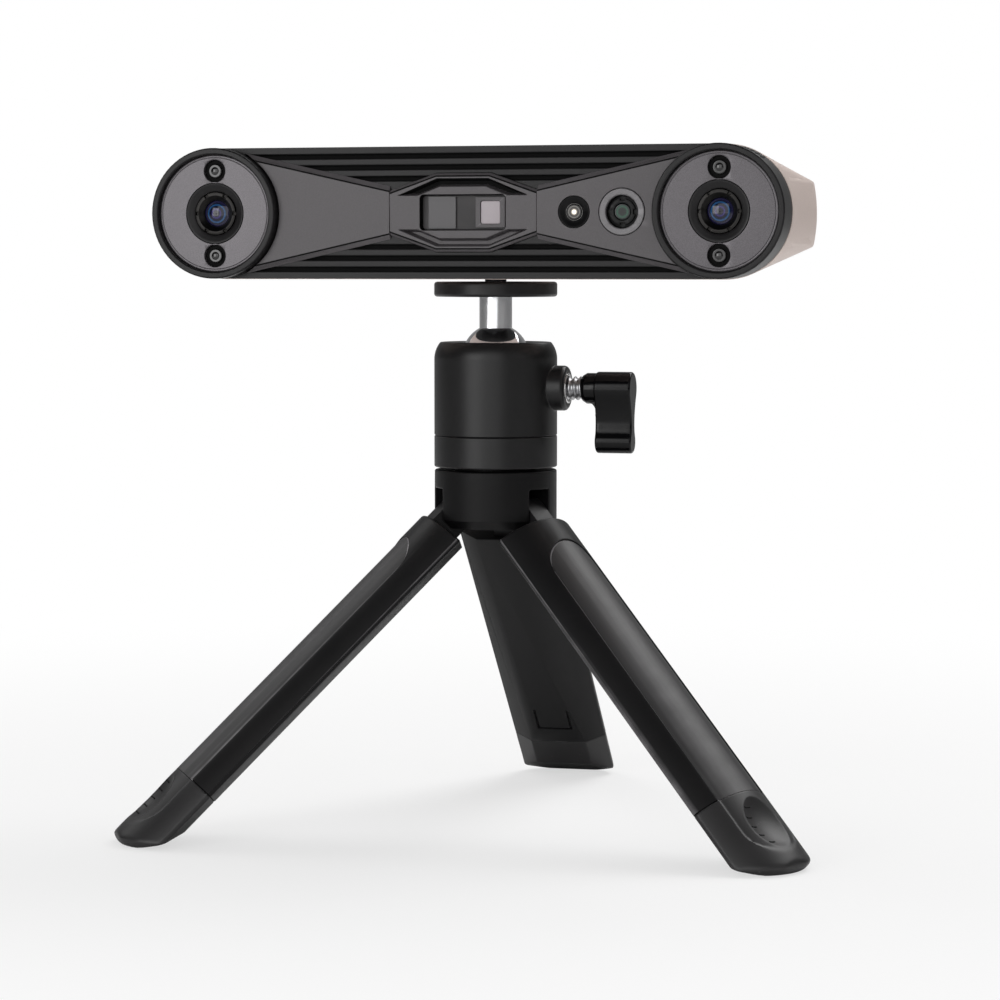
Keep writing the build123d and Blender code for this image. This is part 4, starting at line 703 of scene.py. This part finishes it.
def sharp_edges(mesh, lowest=radians(SHARP_DEGREES), highest=pi):
    """Indices of the edges whose two faces meet at an angle between two limits."""
    normals = {}
    for face in mesh.polygons:
        for key in face.edge_keys:
            normals.setdefault(key, []).append(face.normal.copy())
    sharp = []
    for edge in mesh.edges:
        pair = normals.get(tuple(sorted(edge.vertices)), [])
        if len(pair) == 2 and lowest < pair[0].angle(pair[1], 0.0) < highest:
            sharp.append(edge.index)
    return sharp


def bevel_edges(piece, chosen, width, steps, material=-1):
    """Bevels the chosen edges of a piece; the new faces can take another material."""
    bpy.context.tool_settings.mesh_select_mode = (False, True, False)
    pick_only(piece)
    bpy.ops.object.mode_set(mode="EDIT")
    bpy.ops.mesh.select_all(action="DESELECT")
    bpy.ops.object.mode_set(mode="OBJECT")
    for index in chosen:
        piece.data.edges[index].select = True
    bpy.ops.object.mode_set(mode="EDIT")
    bpy.ops.mesh.bevel(
        offset=width * MM, segments=steps, affect="EDGES", clamp_overlap=False, material=material
    )
    bpy.ops.object.mode_set(mode="OBJECT")


def point_chain(points):
    """Object with a chain of edges through the points, drawn by extruding one vertex."""
    bpy.ops.object.select_all(action="DESELECT")
    bpy.ops.mesh.primitive_plane_add(size=MM, location=(0, 0, 0))
    chain = bpy.context.object
    bpy.context.tool_settings.mesh_select_mode = (True, False, False)
    bpy.ops.object.mode_set(mode="EDIT")
    bpy.ops.mesh.select_all(action="SELECT")
    bpy.ops.mesh.merge(type="CENTER")
    at = Vector((0, 0, 0))
    for index, point in enumerate(points):
        step = {"value": Vector(point) - at}
        if index == 0:
            bpy.ops.transform.translate(**step)
        else:
            bpy.ops.mesh.extrude_vertices_move(TRANSFORM_OT_translate=step)
        at = Vector(point)
    bpy.ops.object.mode_set(mode="OBJECT")
    return chain


def cut_off(piece, point, outward):
    """Cuts away what lies beyond a plane and closes the cut."""
    edit_all(piece)
    bpy.ops.mesh.bisect(plane_co=point, plane_no=outward, use_fill=True, clear_outer=True)
    bpy.ops.object.mode_set(mode="OBJECT")


def threaded_rod(length, crest, root, pitch):
    """Rod with a helical thread along +Z from the origin."""
    turns = int(length / pitch) + 3
    rod = point_chain([
        (crest if high else root, 0, share * pitch) for high, share in THREAD_PROFILE
    ])
    apply_modifier(
        rod, "SCREW", axis="Z", angle=2 * pi, screw_offset=pitch, iterations=turns,
        steps=THREAD_STEPS, render_steps=THREAD_STEPS,
        use_merge_vertices=True, merge_threshold=FINE_WELD * MM,
    )
    rod.data.transform(Matrix.Translation((0, 0, -1.5 * pitch)))
    cut_off(rod, (0, 0, length), (0, 0, 1))
    cut_off(rod, (0, 0, 0), (0, 0, -1))
    edit_all(rod)
    bpy.ops.mesh.remove_doubles(threshold=FINE_WELD * MM)
    bpy.ops.mesh.normals_make_consistent(inside=False)
    bpy.ops.object.mode_set(mode="OBJECT")
    bpy.ops.object.shade_smooth_by_angle(angle=THREAD_SMOOTH)
    return rod


def scanner_ring(name, centre, radius, thickness, finish, flatness=1.0):
    """Round ring that faces the front of the scanner; its wire can be flattened from the front."""
    bpy.ops.object.select_all(action="DESELECT")
    bpy.ops.mesh.primitive_torus_add(
        major_radius=radius * MM, minor_radius=thickness * MM, major_segments=64, minor_segments=12
    )
    ring = bpy.context.object
    flatten = Matrix.Diagonal((1, flatness, 1, 1))
    ring.data.transform(Matrix.Translation(centre) @ flatten @ Matrix.Rotation(pi / 2, 4, "X"))
    pick_only(ring)
    bpy.ops.object.shade_smooth()
    return attach(ring, name, "scanner", finish)


def lamp_bead(name, centre):
    """Low round lens of a fill light, that faces the front."""
    bpy.ops.object.select_all(action="DESELECT")
    bpy.ops.mesh.primitive_uv_sphere_add(segments=40, ring_count=20, radius=BEAD_RADIUS * MM)
    bead = bpy.context.object
    bead.data.transform(Matrix.Translation(centre) @ Matrix.Diagonal((1, BEAD_FLATNESS, 1, 1)))
    pick_only(bead)
    bpy.ops.object.shade_smooth()
    return attach(bead, name, "scanner", LAMP_CLEAR)


# Pieces with rounded edges, by the width of the rounding
TURNED_WIDTHS = {
    "left_lens_plate": 0.20, "right_lens_plate": 0.20, "left_lens_surround": 0.15,
    "right_lens_surround": 0.15, "left_lens_barrel": 0.10, "right_lens_barrel": 0.10,
    "camera_ring": 0.22, "camera_barrel": 0.12, "flash_cup": 0.12, "platform": 0.35,
    "clamp_bushing": 0.25,
}
SHAPED_WIDTHS = {
    "emitter_frame": 0.15, "emitter_window": 0.30, "projector_module": 0.20, "rear_shell": 0.30,
    "housing_base": 0.30, "leg_hub": 0.45, "scan_button": 0.25, "usb_port": 0.08,
}


def rounded_housing():
    """Ball housing with rounded edges, but none in the bore where the clamp shoe slides."""
    housing = cad_copy("ball_housing")
    mesh = housing.data
    low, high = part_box("clamp_shoe")
    room = SHOE_ROOM * MM

    def near_shoe(vertex):
        point = mesh.vertices[vertex].co
        return all(low[i] - room < point[i] < high[i] + room for i in range(3))

    outer_edges = [
        index for index in sharp_edges(mesh)
        if not any(near_shoe(vertex) for vertex in mesh.edges[index].vertices)
    ]
    bevel_edges(housing, outer_edges, HOUSING_ROUNDING, 3)
    stand_for(housing, "ball_housing")


def grooved_casing():
    """Front casing with rounded fins between grooves with painted shade."""
    casing = cad_copy("front_casing")
    mesh = casing.data
    low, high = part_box("front_casing")
    fin_front = FIN_FRONT_GAP * MM + low.y
    mesh.materials.append(PAINTED_SHADE_BLACK)
    fin_edges = []
    for index in sharp_edges(mesh, radians(FIN_DEGREES)):
        ends = [mesh.vertices[vertex].co for vertex in mesh.edges[index].vertices]
        level = abs(ends[0].z - ends[1].z) < HAIR * MM
        if level and all(abs(end.y - fin_front) < 2 * HAIR * MM for end in ends):
            fin_edges.append(index)
    # Faces deep in the grooves take the painted shade black
    for face in mesh.polygons:
        place = face.center
        deep = fin_front + GROOVE_START * MM < place.y < fin_front + GROOVE_END * MM
        within = low.z + GROOVE_MARGIN * MM < place.z < high.z - GROOVE_MARGIN * MM
        if deep and within and abs(place.x) < GROOVE_REACH * MM:
            face.material_index = 1
    bevel_edges(casing, fin_edges, FIN_ROUNDING, 3)
    soften(casing, CASING_ROUNDING, 2, CASING_DEGREES)
    stand_for(casing, "front_casing", PAINTED_SHADE_BLACK)


def polished_ball():
    """Ball and stem: the ball polished, the stem drawn with a softer shine."""
    stem = cad_copy("ball_stem", join_flats=False)
    mesh = stem.data
    mesh.materials.append(STEM_SATIN)
    centre = middle("ball_stem")
    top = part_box("ball_stem")[1].z - STEM_TOP * MM

    def reach(point):
        return hypot(point.x - centre.x, point.y - centre.y)

    radius = max(reach(vertex.co) for vertex in mesh.vertices if vertex.co.z > top)
    for face in mesh.polygons:
        on_stem = face.center.z > centre.z and reach(face.center) < radius + 2 * HAIR * MM
        face.material_index = int(on_stem)
    stand_for(stem, "ball_stem", STEM_SATIN)


def crease_shaded_panel(node):
    """Panel with painted shade along the creases of its front; the bezel's upper pocket gets painted
    shade too.
    """
    panel = cad_copy(node)
    mesh = panel.data
    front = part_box(node)[0].y + HAIR * MM
    shaded_creases = [
        index for index in sharp_edges(mesh, *map(radians, CREASE_DEGREES))
        if all(mesh.vertices[vertex].co.y < front for vertex in mesh.edges[index].vertices)
    ]
    mesh.materials.append(PAINTED_SHADE_BLACK)
    # The walls and floor of the bezel's upper pocket take painted shade; the lower pocket keeps the
    # panel coat
    if node == "projector_bezel":
        centre = middle(node)
        for face in mesh.polygons:
            inward = face.normal.dot(centre - face.center) > 0 and abs(face.normal.y) < FORWARD
            pocket_floor = face.normal.y < -FORWARD and face.center.y > front + POCKET_DEPTH * MM
            upper = face.center.z > centre.z - POCKET_DROP * MM
            face.material_index = int(upper and (inward or pocket_floor))
    # The crease edges are bevelled in the painted shade black
    bevel_edges(panel, shaded_creases, CREASE_SHADE_WIDTH, 1, 1)
    soften(panel, PANEL_ROUNDING, 2, PANEL_DEGREES)
    stand_for(panel, node, PAINTED_SHADE_BLACK)


for node, width in TURNED_WIDTHS.items():
    softened(node, width, join_flats=False)
for node, width in SHAPED_WIDTHS.items():
    softened(node, width, 3 if width > BROAD_ROUNDING else 2)
rounded_housing()
grooved_casing()
polished_ball()
softened("clamp_knob", KNOB_ROUNDING, weld=KNOB_WELD)
for node in ("left_panel", "right_panel", "projector_bezel"):
    crease_shaded_panel(node)


# Rear shell: a thin outer skin, ruled straight from the casing's outline to the flat back

def skin_outlines():
    """Matched points, clockwise from the right end of the top: casing's outline and the back's."""
    low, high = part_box("front_casing")
    centre = middle("front_casing")
    half = (high.z - low.z) / 2 / MM
    straight = half_width("front_casing") / MM - half
    flat, level = BACK_SPAN - BACK_CORNER, BACK_HALF - BACK_CORNER
    end = []
    for step in range(CORNER_STEPS + 1):
        turn = pi / 2 + (SKIN_SPLIT - pi / 2) * step / CORNER_STEPS
        bend = pi / 2 * (1 - step / CORNER_STEPS)
        end.append((
            (straight + half * cos(turn), half * sin(turn)),
            (flat + BACK_CORNER * cos(bend), level + BACK_CORNER * sin(bend)),
        ))
    for step in range(1, 2 * END_STEPS + 1):
        rise = 1 - step / END_STEPS
        turn = SKIN_SPLIT * rise
        end.append((
            (straight + half * cos(turn), half * sin(turn)),
            (BACK_SPAN + BACK_BOW * (1 - rise**2), level * rise),
        ))
    end += [tuple((x, -z) for x, z in pair) for pair in reversed(end[:CORNER_STEPS])]
    ring = end + [tuple((-x, z) for x, z in pair) for pair in reversed(end)]
    front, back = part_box("rear_shell")[0].y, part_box("rear_shell")[1].y
    front = max(front, low.y + SKIN_START * MM)
    return [
        [
            Vector((centre.x + pair[at][0] * MM, y, centre.z + pair[at][1] * MM))
            for pair in ring + ring[:1]
        ]
        for at, y in ((0, front), (1, back))
    ]


def shell_skin():
    """Skin all round the shell; the pad stands out through its underside."""
    casing_side, back_side = (point_chain(points) for points in skin_outlines())
    pick_only(casing_side)
    back_side.select_set(True)
    bpy.ops.object.join()
    skin = casing_side
    centre = middle("front_casing")
    edit_all(skin)
    bpy.ops.mesh.remove_doubles(threshold=FINE_WELD * MM)
    bpy.ops.mesh.bridge_edge_loops()
    bpy.ops.mesh.select_all(action="SELECT")
    bpy.ops.mesh.normals_make_consistent(inside=False)
    bpy.ops.object.mode_set(mode="OBJECT")
    if sum(face.normal.z for face in skin.data.polygons if face.center.z > centre.z) < 0:
        skin.data.flip_normals()
    apply_modifier(
        skin, "SOLIDIFY", thickness=SKIN_THICKNESS * MM, offset=SKIN_OFFSET, use_even_offset=True
    )
    pick_only(skin)
    bpy.ops.object.shade_smooth_by_angle(angle=SMOOTH_ANGLE)
    return attach(skin, "rear-shell-skin", "scanner", BRONZE_COAT)


shell_skin()


# Legs and feet: painted highlight lines on the grips, painted shade in the seams, soft toes, and ticks
# in painted shade in the thumb scoops

def leg_matrix(side):
    """Turns leg measures into the shared frame: x along the pin, y outwards, z down the leg."""
    joint = next(j for j in frame["joints"] if j["child"] == f"{side}_leg_unit")
    along_pin = Vector(joint["axis"])
    outward = Vector((along_pin.y, -along_pin.x, 0))
    down = outward * sin(LEG_SPLAY) - Vector((0, 0, cos(LEG_SPLAY)))
    place = Matrix((along_pin, down.cross(along_pin), down)).transposed().to_4x4()
    place.translation = Vector(joint["pos_m"])
    return place


def split_at_seam(piece, place):
    """Sharp edges of a leg piece: those at the seam with the foot, and the others."""
    back = place.inverted()
    along = [(back @ vertex.co).z for vertex in piece.data.vertices]
    seam = max(along) - 5 * HAIR * MM
    at_seam, others = [], []
    for index in sharp_edges(piece.data):
        ends = piece.data.edges[index].vertices
        (at_seam if all(along[v] > seam for v in ends) else others).append(index)
    return at_seam, others


def dress_leg(side, place):
    """Leg with painted shade in the seam at the foot, and its grip with a painted highlight line along
    the sides.
    """
    leg = cad_copy(f"{side}_leg")
    # The edges at the seam with the foot are bevelled in painted shade black
    leg.data.materials.append(PAINTED_SHADE_BLACK)
    bevel_edges(leg, split_at_seam(leg, place)[0], SEAM_SHADE_WIDTH, 1, 1)
    soften(leg, LEG_ROUNDING, 2, LEG_DEGREES)
    stand_for(leg, f"{side}_leg", PAINTED_SHADE_BLACK)
    grip = cad_copy(f"{side}_leg_grip")
    # The grip's side bevels take a light tone: a painted highlight line
    grip.data.materials.append(GRIP_EDGE_HIGHLIGHT)
    bevel_edges(grip, split_at_seam(grip, place)[1], GRIP_HIGHLIGHT_WIDTH, 1, 1)
    stand_for(grip, f"{side}_leg_grip", GRIP_EDGE_HIGHLIGHT)


def round_toe(foot, place):
    """Rounds the front of a foot softly, as moulded rubber; the back keeps its edges."""
    apply_modifier(foot, "REMESH", mode="VOXEL", voxel_size=TOE_VOXEL * MM, adaptivity=0.0)
    back = place.inverted()
    shares = {}
    for vertex in foot.data.vertices:
        along = (back @ vertex.co).z / MM
        share = round(min(max((along - TOE_START) / TOE_EASE, 0.0), 1.0), 1)
        shares.setdefault(share, []).append(vertex.index)
    toe = foot.vertex_groups.new(name="toe")
    for share, indices in shares.items():
        toe.add(indices, share, "REPLACE")
    apply_modifier(foot, "SMOOTH", factor=0.5, iterations=TOE_PASSES, vertex_group="toe")
    foot.vertex_groups.clear()


def scoop_ticks():
    """Five short ribs along one side of the thumb scoop, in leg measures."""
    ticks = []
    for place, half in TICKS:
        ring = sqrt(SCOOP_RADIUS**2 - place**2)
        bpy.ops.object.select_all(action="DESELECT")
        bpy.ops.mesh.primitive_torus_add(
            major_radius=ring * MM, minor_radius=TICK_WIRE * MM,
            major_segments=240, minor_segments=10,
        )
        tick = bpy.context.object
        outer = asin((half - TICK_OUTER) / ring)
        inner = asin((half - TICK_INNER) / ring)
        cut_off(tick, (0, 0, 0), (-cos(outer), sin(outer), 0))
        cut_off(tick, (0, 0, 0), (cos(inner), -sin(inner), 0))
        tick.data.transform(Matrix.Translation((0, SCOOP_RISE * MM, (SCOOP_PLACE + place) * MM)))
        ticks.append(tick)
    bpy.ops.object.select_all(action="DESELECT")
    for tick in ticks:
        tick.select_set(True)
    bpy.context.view_layer.objects.active = ticks[0]
    bpy.ops.object.join()
    bpy.ops.object.shade_smooth_by_angle(angle=TICK_SMOOTH)
    return ticks[0]


tick_pattern = scoop_ticks()
for side in LEG_SIDES:
    place = leg_matrix(side)
    dress_leg(side, place)
    foot = cad_copy(f"{side}_foot")
    round_toe(foot, place)
    stand_for(foot, f"{side}_foot")
    ticks = add_object(f"{side}-scoop-ticks", tick_pattern.data.copy())
    ticks.data.transform(place)
    # The ticks are near-black: painted shade of the small ribs
    attach(ticks, f"{side}-scoop-ticks", f"{side}_leg_unit", TICK_PAINTED_SHADE)
bpy.data.objects.remove(tick_pattern)


# Clamp screw with its thread
screw_low, screw_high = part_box("clamp_screw")
screw_middle = middle("clamp_screw")
screw_length = screw_high.x - screw_low.x
crest = (screw_high.z - screw_low.z) / 2
clamp_thread = threaded_rod(screw_length, crest, crest - THREAD_DEPTH * MM, THREAD_PITCH * MM)
clamp_thread.data.transform(
    Matrix.Translation((screw_low.x, screw_middle.y, screw_middle.z)) @ Matrix.Rotation(pi / 2, 4, "Y")
)
attach(clamp_thread, "clamp-screw-thread", "knob", FINISHES["clamp_screw"])
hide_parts("clamp_screw")


# Lamps and rims on the front

def fill_lights(side):
    """Fill lights of a pod: a clear bead in a flange painted with shade, with a thin grey rim."""
    node = f"{side}_fill_lights"
    low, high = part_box(node)
    flange = half_width(node)
    lamps = cad_copy(node, join_flats=False)
    lamps.data.materials.append(PAINTED_SHADE_BLACK)
    front = front_centre(node, LAMP_DEPTH)
    centres = [Vector((front.x, front.y, z)) for z in (high.z - flange, low.z + flange)]
    # The flange round each bead takes painted shade black
    for face in lamps.data.polygons:
        reach = min(hypot(face.center.x - c.x, face.center.z - c.z) for c in centres)
        face.material_index = int(reach > LAMP_RADIUS * MM)
    stand_for(lamps, node, PAINTED_SHADE_BLACK)
    for label, centre in zip(("upper", "lower"), centres):
        scanner_ring(
            f"{side}-{label}-lamp-rim", centre, LAMP_RADIUS - LAMP_RIM_INSET, LAMP_RIM_WIRE,
            RIM_GREY,
        )
        lamp_bead(f"{side}-{label}-lamp-bead", centre)


def plate_rims(side):
    """Rim of a lens plate, and a dark ring of painted shadow between it and the casing."""
    plate = f"{side}_lens_plate"
    radius = half_width(plate) / MM
    centre = front_centre(plate, PLATE_RIM_DEPTH)
    scanner_ring(
        f"{side}-plate-rim", centre, radius + PLATE_RIM_GAP, PLATE_RIM_WIRE,
        PLATE_COAT, PLATE_RIM_FLATNESS,
    )
    # Near-black ring: painted shadow in the gap round the plate
    scanner_ring(
        f"{side}-pod-shadow-ring", centre, radius + SHADOW_RING_GAP, SHADOW_RING_WIRE,
        PAINTED_SHADE_BLACK,
    )


for side in ("left", "right"):
    fill_lights(side)
    plate_rims(side)
scanner_ring(
    "flash-rim", front_centre("flash_lamp", FLASH_RIM_DEPTH),
    half_width("flash_lamp") / MM + FLASH_RIM_GAP, FLASH_RIM_WIRE, RIM_GREY,
)


# Set: pale floor, soft lamps and the camera

def pale_floor():
    """Large pale floor that keeps the object's soft shadow and fades into the white background."""
    bpy.ops.object.select_all(action="DESELECT")
    bpy.ops.mesh.primitive_plane_add(size=FLOOR_SIZE, location=(0, 0, 0))
    floor = bpy.context.object
    floor.name = "floor"
    finish, tree, shader = new_finish("pale floor", 0.9, specular=0.1)
    shader.inputs["Base Color"].default_value = (0.86, 0.86, 0.86, 1.0)
    glow = add_node(tree, "Emission")
    sight = add_node(tree, "LightPath")
    place = add_node(tree, "TexCoord")
    reach = add_node(tree, "VectorMath", operation="LENGTH")
    limits = {"From Min": FLOOR_NEAR, "From Max": FLOOR_FAR, "To Min": FLOOR_GLOW, "To Max": 1.0}
    fade = add_node(tree, "MapRange", limits, interpolation_type="SMOOTHSTEP")
    part = add_node(tree, "Math", operation="MULTIPLY")
    mix = add_node(tree, "MixShader")
    wire(
        tree,
        (place.outputs["Object"], reach.inputs[0]),
        (reach.outputs["Value"], fade.inputs["Value"]),
        (fade.outputs["Result"], part.inputs[0]),
        (sight.outputs["Is Camera Ray"], part.inputs[1]),
        (part.outputs["Value"], mix.inputs["Fac"]),
        (shader.outputs["BSDF"], mix.inputs[1]),
        (glow.outputs["Emission"], mix.inputs[2]),
        (mix.outputs["Shader"], tree.nodes["Material Output"].inputs["Surface"]),
    )
    floor.data.materials.append(finish)


def soft_box(name, place, aim, size, power):
    """Area lamp that looks at a point and isn't seen itself."""
    lamp = bpy.data.lights.new(name, "AREA")
    lamp.shape = "RECTANGLE"
    lamp.size, lamp.size_y = size
    lamp.energy = power
    holder = add_object(name, lamp)
    holder.location = place
    holder.rotation_euler = (Vector(aim) - Vector(place)).to_track_quat("-Z", "Y").to_euler()
    holder.visible_camera = False


def studio_world():
    """Dim light all round; the camera and glass see white, metal and gloss a white backdrop behind."""
    world = bpy.data.worlds.new("studio")
    bpy.context.scene.world = world
    world.use_nodes = True
    tree = world.node_tree
    white = (1.0, 1.0, 1.0, 1.0)
    light = tree.nodes["Background"]
    light.inputs["Color"].default_value = white
    bright = add_node(tree, "Background", {"Color": white})
    sight = add_node(tree, "LightPath")
    place = add_node(tree, "TexCoord")
    away = (-sin(VIEW_AZIMUTH), cos(VIEW_AZIMUTH), 0.0)
    ahead = add_node(tree, "VectorMath", {1: away}, operation="DOT_PRODUCT")
    backdrop = add_node(tree, "MapRange", {
        "From Min": BACKDROP_START, "From Max": BACKDROP_FULL,
        "To Min": 0.0, "To Max": BACKDROP_SHARE,
    })
    shine = add_node(tree, "Math", operation="MULTIPLY_ADD")
    seen = add_node(tree, "Math", operation="ADD", use_clamp=True)
    mix = add_node(tree, "MixShader")
    dim = add_node(tree, "Math", {1: AMBIENT_UNSEEN, 2: AMBIENT}, operation="MULTIPLY_ADD")
    wire(
        tree,
        (place.outputs["Generated"], ahead.inputs[0]),
        (ahead.outputs["Value"], backdrop.inputs["Value"]),
        (backdrop.outputs["Result"], shine.inputs[1]),
        (sight.outputs["Is Glossy Ray"], dim.inputs[0]),
        (dim.outputs["Value"], light.inputs["Strength"]),
        (sight.outputs["Is Glossy Ray"], shine.inputs[0]),
        (sight.outputs["Is Camera Ray"], shine.inputs[2]),
        (shine.outputs["Value"], seen.inputs[0]),
        (sight.outputs["Is Transmission Ray"], seen.inputs[1]),
        (seen.outputs["Value"], mix.inputs["Fac"]),
        (light.outputs["Background"], mix.inputs[1]),
        (bright.outputs["Background"], mix.inputs[2]),
        (mix.outputs["Shader"], tree.nodes["World Output"].inputs["Surface"]),
    )


def photo_camera():
    """Camera at the photograph's angle, looking at the stand's axis."""
    camera = add_object("camera", bpy.data.cameras.new("camera"))
    back = Vector((
        sin(VIEW_AZIMUTH) * cos(VIEW_ELEVATION),
        -cos(VIEW_AZIMUTH) * cos(VIEW_ELEVATION),
        sin(VIEW_ELEVATION),
    ))
    target = Vector((stand_axis.x, stand_axis.y, VIEW_HEIGHT))
    camera.location = target + back * VIEW_DISTANCE
    camera.rotation_euler = back.to_track_quat("Z", "Y").to_euler()
    camera.data.sensor_width = SENSOR_WIDTH
    camera.data.lens = LENS_LENGTH
    camera.data.shift_x = FRAME_SHIFT
    bpy.context.scene.camera = camera


pale_floor()
for name, values in SOFT_BOXES.items():
    soft_box(name, *values)
studio_world()
photo_camera()
bpy.context.scene.view_settings.view_transform = "Standard"
